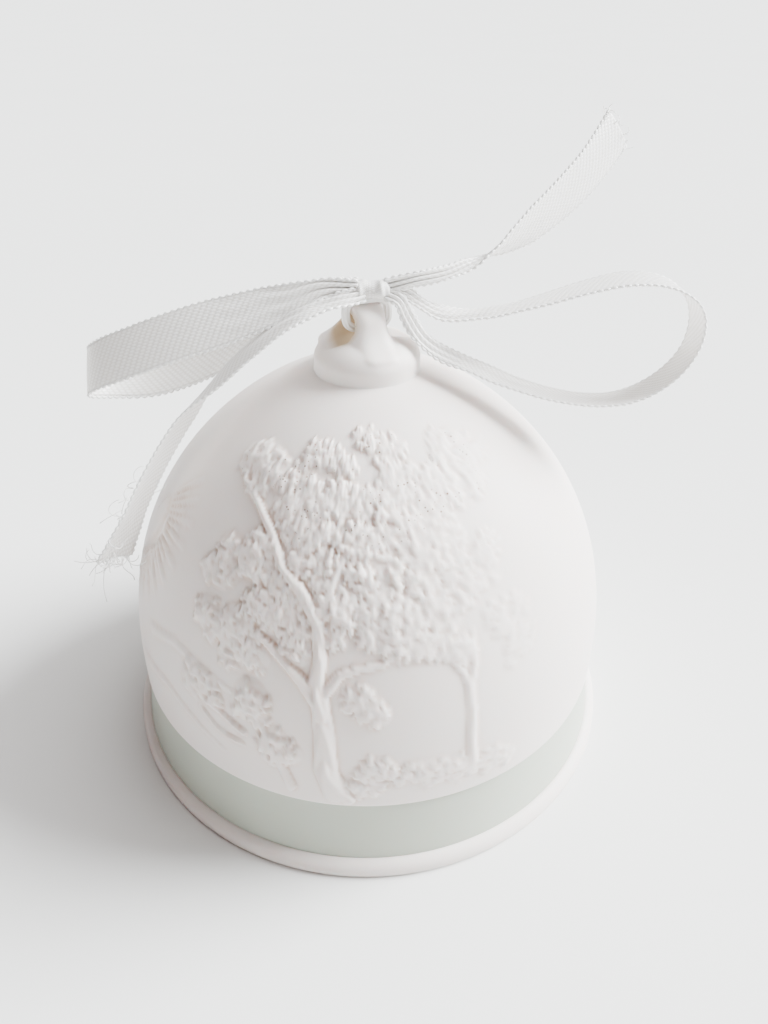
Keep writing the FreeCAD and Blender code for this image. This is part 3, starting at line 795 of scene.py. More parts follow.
@dataclass
class CountryRelief:
    """A low country scene: a leaning tree, a sapling, shrubs, hills and a rising sun."""

    seed: int = 12
    branches: tuple[Branch, ...] = (
        Branch(((-7.0, 16.2), (-8.8, 20.0), (-9.0, 26.0), (-9.9, 31.0)), (1.8, 1.2), 1.15),
        Branch(((-4.4, 15.0), (-7.0, 18.6), (-8.4, 24.0)), (1.1, 0.6), 0.9),
        Branch(((-9.7, 29.0), (-10.9, 33.0), (-10.2, 36.0), (-11.6, 40.6)), (1.15, 0.75), 1.0),
        Branch(
            ((-11.3, 40.2), (-16.0, 43.0), (-21.5, 44.8), (-27.5, 47.8), (-35.0, 49.8), (-45.0, 51.2)),
            (0.85, 0.4), 0.85,
        ),
        Branch(
            ((-10.0, 30.0), (-13.5, 33.0), (-17.5, 35.0), (-22.0, 36.8), (-28.5, 38.2)),
            (0.95, 0.35), 0.95,
        ),
        Branch(((-9.6, 31.4), (-6.0, 34.4), (-2.0, 35.3), (2.6, 35.6), (7.0, 37.6)), (0.8, 0.3), 0.6),
        Branch(((-11.2, 40.0), (-8.5, 44.5), (-4.0, 48.5), (2.0, 52.0)), (0.8, 0.35), 0.6),
        Branch(((-16.2, 16.0), (-19.0, 21.5), (-21.8, 25.0), (-25.0, 28.4)), (0.75, 0.35), 0.8),
        Branch(((-26.4, 23.2), (-32.0, 24.8), (-36.6, 26.0), (-39.4, 28.6)), (0.5, 0.25), 0.5),
        Branch(((-27.0, 21.0), (-33.0, 21.6), (-38.0, 24.0), (-42.0, 28.0)), (0.4, 0.2), 0.4),
        Branch(((21.4, 18.5), (21.0, 23.5), (21.4, 28.0), (20.8, 31.4)), (0.85, 0.6), 0.6),
        Branch(((20.9, 31.0), (19.8, 33.2), (17.0, 35.4), (14.0, 37.2)), (0.5, 0.3), 0.45),
        Branch(((21.0, 31.0), (22.6, 34.0), (23.0, 38.0)), (0.6, 0.3), 0.45),
        Branch(((-58.0, 28.6), (-48.0, 30.6), (-38.0, 30.0), (-30.0, 28.8)), (0.9, 0.3), 0.25),
        Branch(((-62.0, 21.4), (-50.0, 22.6), (-41.0, 20.6), (-32.0, 18.0)), (0.9, 0.3), 0.25),
    )
    foliage: tuple[Foliage, ...] = (
        Foliage((-2.0, 52.0), (26.0, 4.6), 44, 0.42),
        Foliage((4.0, 45.5), (17.0, 5.6), 44, 0.72),
        Foliage((10.0, 39.6), (11.0, 2.8), 22, 0.66),
        Foliage((22.0, 47.0), (11.0, 6.0), 28, 0.42),
        Foliage((40.0, 53.5), (12.0, 2.6), 12, 0.42),
        Foliage((-20.0, 50.5), (12.0, 3.2), 20, 0.50),
        Foliage((-42.0, 52.4), (8.0, 1.8), 12, 0.50),
        Foliage((-29.0, 45.4), (5.0, 1.8), 8, 0.75),
        Foliage((-20.0, 43.0), (4.0, 1.6), 6, 0.70),
        Foliage((-14.0, 46.5), (4.0, 2.4), 8, 0.75),
        Foliage((-8.0, 41.0), (2.4, 2.6), 7, 0.80),
        Foliage((-15.5, 37.6), (2.6, 1.4), 5, 0.80),
        Foliage((-38.6, 43.0), (2.8, 2.0), 4, 0.72),
        Foliage((-21.0, 40.2), (6.0, 1.5), 9, 0.80),
        Foliage((-33.0, 37.4), (7.0, 1.5), 11, 0.95),
        Foliage((-27.5, 34.4), (3.6, 1.6), 6, 0.78),
        Foliage((-24.0, 28.0), (3.0, 1.6), 6, 0.95),
        Foliage((-20.0, 22.6), (3.6, 2.0), 8, 1.00),
        Foliage((-38.0, 27.0), (5.0, 2.2), 9, 0.55),
        Foliage((-1.6, 29.8), (4.0, 1.8), 8, 0.50),
        Foliage((7.0, 19.4), (11.0, 1.8), 16, 0.60),
        Foliage((-3.0, 16.6), (6.0, 1.0), 6, 0.60),
        Foliage((24.0, 17.4), (8.0, 1.2), 8, 0.36),
        Foliage((34.0, 37.0), (4.0, 4.0), 7, 0.22),
        Foliage((17.0, 36.6), (4.5, 1.6), 6, 0.50),
    )
    sun_centre: tuple[float, float] = (-78.0, 40.5)
    sun_radius: float = 4.6
    ray_count: int = 19
    ray_span: tuple[float, float] = (-80.0, 62.0)
    ray_reach: tuple[float, float] = (5.2, 13.0)
    sun_height: float = 0.35
    ray_height: float = 0.46

    def raise_on(self, base: np.ndarray, on_dome: Callable[[float, float], Point]) -> np.ndarray:
        """Work out how far each point of the dome stands up.

        Args:
            base: Points of the smooth dome, in metres.
            on_dome: Gives the place on the dome for degrees round and millimetres up.

        Returns:
            The height at each point, in metres.
        """
        carving = Carving(base, on_dome)
        draw = random.Random(self.seed)
        for branch in self.branches:
            self.add_branch(carving, branch, draw)
        self.add_sun(carving)
        for patch in self.foliage:
            for _ in range(patch.tufts):
                self.add_tuft(carving, patch, draw)
        return carving.heights

    @staticmethod
    def add_branch(carving: Carving, branch: Branch, draw: random.Random) -> None:
        """Raise one limb as a tapering ridge with bark grooves."""
        corners = np.array([carving.on_dome(*place) for place in branch.line])
        spans = np.linalg.norm(np.diff(corners, axis=0), axis=1)
        distances = np.concatenate([[0.0], np.cumsum(spans)])
        steps = max(8, int(distances[-1] / (0.35 * MM)))
        sampled = np.linspace(0, distances[-1], steps)
        line = np.stack([np.interp(sampled, distances, corners[:, axis]) for axis in range(3)], axis=1)
        phase = draw.uniform(0, math.tau)
        for step, place in enumerate(line):
            share = step / (steps - 1)
            half = (branch.width[0] * (1 - share) + branch.width[1] * share) * MM
            for index, distance in carving.near(place, half):
                round_top = math.sqrt(max(0.0, 1 - (distance / half) ** 2))
                bark = 1 + 0.16 * math.sin(distance / half * 6 + phase + share * 14)
                taper = 1 - 0.35 * share
                carving.lift(index, branch.height * MM * round_top * bark * taper)

    @staticmethod
    def add_tuft(carving: Carving, patch: Foliage, draw: random.Random) -> None:
        """Raise one low mound of overlapping leaves, each with a groove down its middle."""
        swing = draw.uniform(0, math.tau)
        out = math.sqrt(draw.random())
        across = patch.centre[0] + patch.reach[0] * out * math.cos(swing)
        up = patch.centre[1] + patch.reach[1] * out * math.sin(swing)
        centre, east, north = carving.ways_at(across, up)
        mound = draw.uniform(1.3, 2.3) * MM
        mound_height = patch.height * draw.uniform(0.35, 0.9) * MM
        for index, distance in carving.near(centre, mound * 1.1):
            carving.lift(index, mound_height * (1 - (distance / (mound * 1.1)) ** 2) * 0.8)
        for _ in range(patch.leaves):
            turn = draw.uniform(0, math.tau)
            away = math.sqrt(draw.random()) * mound
            place = centre + (east * math.cos(turn) + north * math.sin(turn)) * away
            lean = turn + draw.uniform(-0.7, 0.7)
            length_way = east * math.cos(lean) + north * math.sin(lean)
            width_way = north * math.cos(lean) - east * math.sin(lean)
            long_half = patch.leaf[0] * draw.uniform(0.75, 1.25) * MM
            wide_half = patch.leaf[1] * draw.uniform(0.75, 1.2) * MM
            under = mound_height * max(0.0, 1 - (away / (mound * 1.1)) ** 2)
            rise = draw.uniform(0.16, 0.36) * MM
            for index, _ in carving.near(place, long_half * 1.15):
                offset = carving.base[index] - place
                first = (offset @ length_way) / long_half
                second = (offset @ width_way) / wide_half
                second /= max(0.25, 1 - 0.45 * first * first)
                inside = 1 - first * first - second * second
                if inside <= 0:
                    continue
                groove = 0.25 * math.exp(-((second / 0.25) ** 2))
                carving.lift(index, under + rise * (inside ** 0.45 + 0.25 * first - groove))

    def add_sun(self, carving: Carving) -> None:
        """Raise a half-hidden sun disc with tapering rays."""
        centre, east, north = carving.ways_at(*self.sun_centre)
        low, high = self.ray_span
        inner, outer = self.ray_reach
        for index, distance in carving.near(centre, (outer + 1) * MM):
            offset = carving.base[index] - centre
            angle = math.degrees(math.atan2(offset @ north, offset @ east))
            if not low <= angle <= high:
                continue
            out = distance / MM
            if out < self.sun_radius:
                carving.lift(index, self.sun_height * MM * min(1.0, (self.sun_radius - out) / 0.5))
                continue
            turn = (angle - low) / (high - low) * self.ray_count
            wedge = max(0.0, 1 - abs(turn - math.floor(turn) - 0.5) * 2 / 0.72)
            reach = outer * (0.78 if int(math.floor(turn)) % 2 else 1.0)
            if not inner <= out <= reach:
                continue
            fade = math.sqrt(max(0.0, 1 - ((out - inner) / (reach - inner)) ** 2))
            start = min(1.0, (out - inner) / 0.8)
            carving.lift(index, self.ray_height * MM * math.sqrt(wedge) * fade * start)


# ---------------------------------------------------------------- bell


@dataclass
class PorcelainBell:
    """The cast shell with its rounded lip, groove, relief dome and crown."""

    lip_height: float = 2.5 * MM
    rim_width: float = 3.6 * MM
    band_foot: float = 38.4 * MM
    band_top: float = 12.9 * MM
    band_recess: float = 0.6 * MM
    skirt: float = 37.5 * MM
    wall: float = 2.6 * MM
    slip: float = 0.3 * MM
    columns: int = 420
    dome_rows: int = 176
    front_gain: float = 0.62
    front: float = math.radians(-14.0)
    round_power: float = 4 / 3
    rise_power: float = 0.8
    lip: float = field(init=False)
    crown: float = field(init=False)

    def __post_init__(self) -> None:
        """Take the rim radius and the crown height from the frame."""
        low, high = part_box("bell_shell")
        self.lip = (high.x - low.x) / 2
        self.crown = high.z

    def dome_point(self, turn: float, radius: float, top: float) -> tuple[float, float]:
        """Radius and height on a dome for a turn from 0 at the skirt to a quarter at the crown."""
        across = radius * abs(math.cos(turn)) ** self.round_power
        up = self.band_top + (top - self.band_top) * math.sin(turn) ** self.rise_power
        return across, up

    def dome_line(self, radius: float, top: float, rows: int) -> list[tuple[float, float]]:
        """Points evenly spaced along a dome's outline, from the skirt to the crown."""
        fine = [self.dome_point(math.pi / 2 * step / 2000, radius, top) for step in range(2001)]
        reach = [0.0]
        for first, second in zip(fine, fine[1:]):
            reach.append(reach[-1] + math.dist(first, second))
        line = []
        for row in range(rows + 1):
            along = reach[-1] * row / rows
            across = float(np.interp(along, reach, [place[0] for place in fine]))
            up = float(np.interp(along, reach, [place[1] for place in fine]))
            line.append((across, up))
        line[-1] = (0.0, top)
        return line

    def on_dome(self, degrees: float, height_mm: float) -> Point:
        """The place on the outer dome at degrees round from the front and a height."""
        share = min(1.0, max(0.0, (height_mm * MM - self.band_top) / (self.crown - self.band_top)))
        turn = math.asin(min(1.0, share ** (1 / self.rise_power)))
        radius = self.skirt * abs(math.cos(turn)) ** self.round_power
        angle = math.radians(degrees)
        return (radius * math.sin(angle), -radius * math.cos(angle), height_mm * MM)

    def outline(self) -> list[tuple[float, float]]:
        """The shell's whole section, from the inner crown down, round the rim and up to the crown."""
        inner_skirt = self.skirt - self.wall
        line = self.dome_line(inner_skirt, self.crown - self.wall, 22)[::-1]
        floor_foot = self.band_foot - self.slip
        floor_head = self.skirt - self.band_recess - self.slip
        rim_inside = self.lip - self.rim_width
        line += [
            (floor_foot - self.wall, self.lip_height),
            (rim_inside - 0.15 * MM, 0.35 * MM),
            (rim_inside + 0.2 * MM, 0.0),
            (self.lip - 0.55 * MM, 0.0),
            (self.lip - 0.16 * MM, 0.16 * MM),
            (self.lip, 0.6 * MM),
        ]
        bead = self.lip - self.band_foot
        centre = self.lip_height - bead
        for step in range(1, 7):
            turn = math.pi / 2 * step / 7
            line.append((self.band_foot + bead * math.cos(turn), centre + bead * math.sin(turn)))
        line += [
            (self.band_foot + 0.1 * MM, self.lip_height - 0.01 * MM),
            (self.band_foot - 0.08 * MM, self.lip_height - 0.10 * MM),
            (floor_foot, self.lip_height - 0.1 * MM),
            (floor_head, self.band_top + 0.1 * MM),
            (self.skirt - 0.42 * MM, self.band_top + 0.06 * MM),
            (self.skirt - 0.20 * MM, self.band_top + 0.02 * MM),
            (self.skirt - 0.05 * MM, self.band_top + 0.16 * MM),
        ]
        dome = self.dome_line(self.skirt, self.crown, self.dome_rows)
        line += [place for place in dome if place[1] > self.band_top + 0.32 * MM]
        return line

    def respace(self, points: np.ndarray) -> np.ndarray:
        """Crowd the columns towards the modelled front, where the relief is finest."""
        radius = np.hypot(points[:, 0], points[:, 1])
        angle = np.arctan2(points[:, 0], -points[:, 1])
        even = angle - self.front
        crowded = even - self.front_gain * np.sin(even)
        moved = points.copy()
        moved[:, 0] = radius * np.sin(crowded + self.front)
        moved[:, 1] = -radius * np.cos(crowded + self.front)
        return moved

    def build_shell(self, material: bpy.types.Material) -> bpy.types.Object:
        """Turn the shell, raise the relief on it and mark the painted shade in its hollows and its specks.
        """
        piece = Bench.turn_outline("porcelain_shell", self.outline(), self.columns)
        Bench.face_outwards(piece)
        points = self.respace(Bench.points_of(piece))
        Bench.set_points(piece, points)
        normals = Bench.normals_of(piece)
        radial = points * [1, 1, 0]
        outward = np.einsum("ij,ij->i", normals, radial + np.array([0, 0, 1e-3]))
        on_outside = (points[:, 2] > self.band_top + 0.5 * MM) & (outward > 0)
        on_outside &= np.hypot(points[:, 0], points[:, 1]) > 6 * MM
        chosen = np.nonzero(on_outside)[0]
        relief = CountryRelief().raise_on(points[chosen], self.on_dome)
        azimuth = np.degrees(np.arctan2(points[chosen, 0], -points[chosen, 1]))
        relief *= np.interp(azimuth, (-8.0, 12.0, 30.0, 50.0), (1.0, 0.72, 0.52, 0.40))
        relief *= np.clip((points[chosen, 2] - self.band_top - 0.4 * MM) / (1.2 * MM), 0, 1)
        points[chosen] += normals[chosen] * relief[:, None]
        Bench.set_points(piece, points)
        self.mark_painted_shade_and_specks(piece, chosen, relief)
        Bench.smooth(piece)
        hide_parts("bell_shell")
        return dress(piece, material, "root")

    @staticmethod
    def mark_painted_shade_and_specks(piece: bpy.types.Object, chosen: np.ndarray, relief: np.ndarray) -> None:
        """Store how sunken each point is, as the share of painted shade, and how speckled it is, for the
        finish.
        """
        count = len(piece.data.vertices)
        height = np.zeros(count)
        height[chosen] = relief
        edges = np.zeros(len(piece.data.edges) * 2, dtype=int)
        piece.data.edges.foreach_get("vertices", edges)
        edges = edges.reshape(-1, 2)
        smoothed = height.copy()
        degree = np.bincount(edges.reshape(-1), minlength=count).clip(1)
        for _ in range(6):
            total = np.bincount(edges[:, 0], weights=smoothed[edges[:, 1]], minlength=count)
            total += np.bincount(edges[:, 1], weights=smoothed[edges[:, 0]], minlength=count)
            smoothed = 0.5 * smoothed + 0.5 * total / degree
        # Painted shade: points lying below their smoothed neighbours are marked for darker colour.
        sunken = np.clip((smoothed - height) / (0.30 * MM), 0, 0.8)
        leafy = np.clip(smoothed / (0.25 * MM), 0, 1)
        points = Bench.points_of(piece)
        upper = np.clip((points[:, 2] - 46 * MM) / (4 * MM), 0, 1) * (points[:, 1] < 0)
        Bench.mark(piece, "painted_shade", sunken)
        Bench.mark(piece, "speckled", leafy * upper)

    def build_band(self, material: bpy.types.Material) -> bpy.types.Object:
        """Turn the layer of coloured slip that fills the bottom of the groove."""
        head = self.skirt - self.band_recess
        foot = self.band_foot
        depth = self.slip + 0.15 * MM
        bottom = self.lip_height - 0.02 * MM
        top = self.band_top + 0.08 * MM
        outline = [(foot - depth, bottom), (foot, bottom)]
        for step in range(1, 24):
            share = step / 24
            bow = 0.05 * MM * math.sin(math.pi * share)
            outline.append((foot + (head - foot) * share - bow, bottom + (top - bottom) * share))
        outline += [(head, top), (head - depth, top), (foot - depth, bottom)]
        piece = Bench.turn_outline("slip_band_layer", outline, 300)
        Bench.face_outwards(piece)
        Bench.smooth(piece, Facing.BY_ANGLE, 50.0)
        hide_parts("slip_band")
        return dress(piece, material, "root")


@dataclass
class Crown:
    """The round button and the pinched hanging loop, luted together and onto the dome."""

    button_radius: float = 7.4 * MM
    loop_thickness: float = 5.4 * MM
    bore: float = 4.0 * MM
    yaw: float = math.radians(20.0)
    voxel: float = 0.2 * MM
    foot_depth: float = 3.5 * MM
    left_flare: float = 4.0 * MM
    right_flare: float = 1.1 * MM
    top: float = field(init=False)
    dome_top: float = field(init=False)
    button_top: float = field(init=False)
    bore_centre: float = field(init=False)

    def __post_init__(self) -> None:
        """Take the heights from the frame."""
        self.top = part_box("hanging_loop")[1].z
        self.dome_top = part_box("bell_shell")[1].z
        self.button_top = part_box("crown_button")[1].z
        joints = {joint["name"]: joint for joint in frame["joints"]}
        self.bore_centre = joints["bow_tilt"]["pos_m"][2]

    def build(self, bell: PorcelainBell, material: bpy.types.Material) -> bpy.types.Object:
        """Join the lumps of clay, bore the hole, then smooth them into one."""
        lumps = [self.button(), self.tongue(), self.seat(bell)]
        piece = lumps[0]
        for lump in lumps[1:]:
            self.combine(piece, lump, "UNION")
        self.combine(piece, self.hole(), "DIFFERENCE")
        remesh = piece.modifiers.new("clay", "REMESH")
        remesh.mode = "VOXEL"
        remesh.voxel_size = self.voxel
        soften = piece.modifiers.new("soften", "SMOOTH")
        soften.factor = 0.5
        soften.iterations = 9
        Bench.apply_modifiers(piece)
        self.dent(piece)
        Bench.smooth(piece)
        piece.name = "crown_and_loop"
        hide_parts("crown_button", "hanging_loop")
        return dress(piece, material, "root")

    @staticmethod
    def combine(piece: bpy.types.Object, tool: bpy.types.Object, way: str) -> None:
        """Join a second lump to the piece, or cut it out, and remove the second."""
        boolean = piece.modifiers.new("combine", "BOOLEAN")
        boolean.operation = way
        boolean.solver = "EXACT"
        boolean.object = tool
        Bench.apply_modifiers(piece)
        bpy.data.objects.remove(tool)

    def button(self) -> bpy.types.Object:
        """A round button: upright skirt, rounded shoulder and shallow top."""
        shoulder = self.dome_top - 0.1 * MM
        rise = self.button_top - shoulder
        outline = [(0.0, self.dome_top - 4 * MM), (self.button_radius, self.dome_top - 4 * MM)]
        for step in range(15):
            turn = math.pi / 2 * step / 14
            across = self.button_radius * abs(math.cos(turn)) ** 0.8
            outline.append((across, shoulder + rise * math.sin(turn) ** 1.15))
        outline[-1] = (0.0, self.button_top)
        piece = Bench.turn_outline("crown_button_clay", outline, 96)
        Bench.face_outwards(piece)
        return piece

    def tongue(self) -> bpy.types.Object:
        """The loop's body: a pinched tongue whose feet run out over the button."""
        piece = Bench.ringed_cylinder("loop_clay", 72, 40)
        points = Bench.points_of(piece)
        angle = np.arctan2(points[:, 1], points[:, 0])
        rise = points[:, 2] + 0.5
        foot = self.dome_top - 1.2 * MM
        up = foot + (self.top - foot) * np.sin(rise * math.pi / 2)
        radius = self.top - self.bore_centre
        above = np.clip((up - self.bore_centre) / radius, 0, 1)
        front_run = np.clip((self.bore_centre + 1.2 * MM - up) / (3.4 * MM), 0, 1)
        side_run = np.clip((self.top - 0.6 * MM - up) / (4.7 * MM), 0, 1)
        depth = radius * np.sqrt(np.clip(1 - above ** 2, 0.0, 1)) + self.foot_depth * front_run ** 1.8
        behind = 0.35 + 0.65 * np.clip(np.sin(angle) + 0.5, 0, 1)
        half = self.loop_thickness / 2 * (0.86 - 0.08 * above)
        left = half + self.left_flare * side_run ** 1.35 * behind
        right = half + self.right_flare * front_run ** 1.6
        side = np.where(np.cos(angle) < 0, left, right)
        side *= np.sign(np.cos(angle)) * np.abs(np.cos(angle)) ** 0.62
        over = depth * np.sign(np.sin(angle)) * np.abs(np.sin(angle)) ** 0.72
        Bench.set_points(piece, np.stack([side, over, up], axis=1))
        Bench.face_outwards(piece, 1e-6)
        piece.data.transform(Matrix.Rotation(self.yaw, 4, "Z"))
        return piece

    def seat(self, bell: PorcelainBell) -> bpy.types.Object:
        """A disc of the dome's own surface, a hair under it, that the foot's fillet runs out on."""
        sink = 0.16 * MM
        line = [place for place in bell.dome_line(bell.skirt, bell.crown, 300) if place[0] < 10.5 * MM]
        upper = [(across, up - sink) for across, up in line]
        lower = [(across, up - sink - 1.4 * MM) for across, up in line[::-1]]
        outline = upper + lower + [upper[0]]
        piece = Bench.turn_outline("seat_clay", outline[::4] + [outline[-1]], 96)
        Bench.face_outwards(piece)
        return piece

    def hole(self) -> bpy.types.Object:
        """The round bar that the loop's hole was pushed through with."""
        Bench.clear_selection()
        bpy.ops.mesh.primitive_cylinder_add(
            vertices=48, radius=self.bore / 2 + 0.1 * MM, depth=20 * MM,
            location=(0, 0, self.bore_centre), rotation=(0, math.pi / 2, self.yaw),
        )
        piece = Bench.take_new("bore_bar")
        Bench.settle(piece)
        return piece

    def dent(self, piece: bpy.types.Object) -> None:
        """Press faint finger dents into the clay, and mark the painted shade inside the hole."""
        points = Bench.points_of(piece)
        normals = Bench.normals_of(piece)
        wave = np.sin(points[:, 0] * 900) * np.sin(points[:, 1] * 700 + 1) * np.sin(points[:, 2] * 820)
        points += normals * (wave * 0.05 * MM)[:, None]
        Bench.set_points(piece, points)
        along = points[:, 0] * math.cos(self.yaw) + points[:, 1] * math.sin(self.yaw)
        across = -points[:, 0] * math.sin(self.yaw) + points[:, 1] * math.cos(self.yaw)
        from_bore = np.hypot(across, points[:, 2] - self.bore_centre)
        # Painted shade: darker colour inside the bore, over part of its length.
        bore_shade = np.clip(1 - (from_bore - self.bore / 2 - 0.1 * MM) / (0.9 * MM), 0, 1)
        bore_shade *= np.clip((5.5 * MM + along) / (1.5 * MM), 0, 1) * (along < 1.5 * MM)
        Bench.mark(piece, "painted_shade", bore_shade * 0.85)


# ---------------------------------------------------------------- ribbon


@dataclass(frozen=True)
class Lay:
    """How the ribbon lies at a share of its length: its width way, width, pleats and cup."""

    share: float
    way: Point
    width: float
    pleat: float = 0.0
    cup: float = 0.0


@dataclass(frozen=True)
class Stretch:
    """One stretch of the bow between the knot and its end."""

    name: str
    node: str
    route: tuple[Point, ...]
    lays: tuple[Lay, ...]
    length: float
    far_end: str

    def keyed(self, share: np.ndarray, pick: Callable[[Lay], float]) -> np.ndarray:
        """What is picked from the lays, at shares of the length between theirs."""
        return np.interp(share, [lay.share for lay in self.lays], [pick(lay) for lay in self.lays])


@dataclass
class PicotRibbon:
    """A narrow satin ribbon with looped edges, laid along smooth routes."""

    width: float = 6.3 * MM
    thickness: float = 0.20 * MM
    lanes: int = 19
    station: float = 0.17 * MM
    picot_pitch: float = 0.95 * MM
    picot_reach: float = 0.24 * MM
    selvedge: float = 0.16 * MM
    easing: int = 15

    @staticmethod
    def smooth_line(route: Sequence[Point]) -> np.ndarray:
        """Points along the smooth spline whose control points are the route.

        Args:
            route: Control points, in millimetres.

        Returns:
            Points of the spline, in metres.
        """
        curve = bpy.data.curves.new("route", "CURVE")
        curve.dimensions = "3D"
        curve.resolution_u = 24
        spline = curve.splines.new("NURBS")
        spline.points.add(len(route) - 1)
        for control, place in zip(spline.points, route):
            control.co = (place[0] * MM, place[1] * MM, place[2] * MM, 1.0)
        spline.order_u = 3
        spline.use_endpoint_u = True
        holder = bpy.data.objects.new("route", curve)
        bpy.context.scene.collection.objects.link(holder)
        bpy.context.view_layer.update()
        line = bpy.data.meshes.new_from_object(holder)
        points = np.array([tuple(vertex.co) for vertex in line.vertices])
        bpy.data.meshes.remove(line)
        bpy.data.objects.remove(holder)
        bpy.data.curves.remove(curve)
        return points

    @staticmethod
    def even_line(points: np.ndarray, spacing: float) -> tuple[np.ndarray, np.ndarray]:
        """Space points evenly along a line.

        Args:
            points: The line's points.
            spacing: Wanted distance between points.

        Returns:
            The even points and their distance along the line.
        """
        steps = np.linalg.norm(np.diff(points, axis=0), axis=1)
        reach = np.concatenate([[0.0], np.cumsum(steps)])
        count = max(8, int(round(reach[-1] / spacing)) + 1)
        along = np.linspace(0, reach[-1], count)
        even = np.stack([np.interp(along, reach, points[:, axis]) for axis in range(3)], axis=1)
        return even, along

    def lay_out(self, stretch: Stretch) -> tuple[np.ndarray, np.ndarray, np.ndarray, np.ndarray]:
        """Work out the ribbon's middle line, its width way, face way and width at each station."""
        spline = self.smooth_line(stretch.route)
        line, along = self.even_line(spline, self.station)
        share = along / along[-1]
        kernel = np.hanning(2 * self.easing + 1)
        kernel /= kernel.sum()
        eased = []
        for axis in range(3):
            keyed = stretch.keyed(share, lambda lay: lay.way[axis])
            eased.append(np.convolve(np.pad(keyed, self.easing, mode="edge"), kernel, mode="valid"))
        way = np.stack(eased, axis=1)
        tangent = Bench.tangents_of(line)
        way -= tangent * np.einsum("ij,ij->i", way, tangent)[:, None]
        way /= np.linalg.norm(way, axis=1)[:, None]
        face = np.cross(tangent, way)
        return line, along, way, face

    def build(
        self, stretch: Stretch, satin: bpy.types.Material, thread: bpy.types.Material
    ) -> bpy.types.Object:
        """Make one stretch: the woven strip and its two beaded selvedges.

        Args:
            stretch: The stretch's route and lays.
            satin: Finish of the strip.
            thread: Finish of the selvedges.

        Returns:
            The strip's object; the selvedges are joined into it.
        """
        line, along, way, face = self.lay_out(stretch)
        share = along / along[-1]
        width = stretch.keyed(share, lambda lay: lay.width * MM)
        pleat = stretch.keyed(share, lambda lay: lay.pleat * MM)
        cup = stretch.keyed(share, lambda lay: lay.cup * MM)
        across = np.linspace(-1, 1, self.lanes)
        rows = np.zeros((len(line), self.lanes, 3))
        for lane, side in enumerate(across):
            fold = pleat * np.cos(side * math.pi * 2.6 + 0.6 * np.sin(along / MM * 0.9))
            bow = cup * (side * side - 0.4)
            rows[:, lane] = line + way * (side * width / 2)[:, None] + face * (fold + bow)[:, None]
        strip = Bench.sheet_of(stretch.name, rows, across * self.width / 2, along)
        solid = strip.modifiers.new("cloth thickness", "SOLIDIFY")
        solid.thickness = self.thickness
        solid.offset = 0.0
        Bench.apply_modifiers(strip)
        Bench.smooth(strip)
        Bench.coat(strip, satin)
        parts = [strip]
        for lane, outward in ((0, -1.0), (self.lanes - 1, 1.0)):
            parts.append(self.selvedge_on(rows[:, lane], along, way * outward, thread))
        piece = Bench.join(stretch.name, parts)
        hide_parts(stretch.node)
        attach(piece, "bow")
        LOG.info("%s: %d faces, %.1f mm of ribbon", piece.name, len(piece.data.polygons), along[-1] / MM)
        return piece

    def selvedge_on(
        self, edge: np.ndarray, along: np.ndarray, outward: np.ndarray, thread: bpy.types.Material
    ) -> bpy.types.Object:
        """The looped thread along one edge: a cord that swells at every picot."""
        beat = np.abs(np.sin(math.pi * along / self.picot_pitch)) ** 0.9
        line = edge + outward * (self.picot_reach * (beat - 0.35))[:, None]
        radii = self.selvedge * (0.55 + 0.70 * beat)
        piece = Bench.tube_of("selvedge", line, radii, sides=6)
        Bench.smooth(piece)
        Bench.coat(piece, thread)
        return piece


UP_FACING = (0.0, 0.567, 0.824)

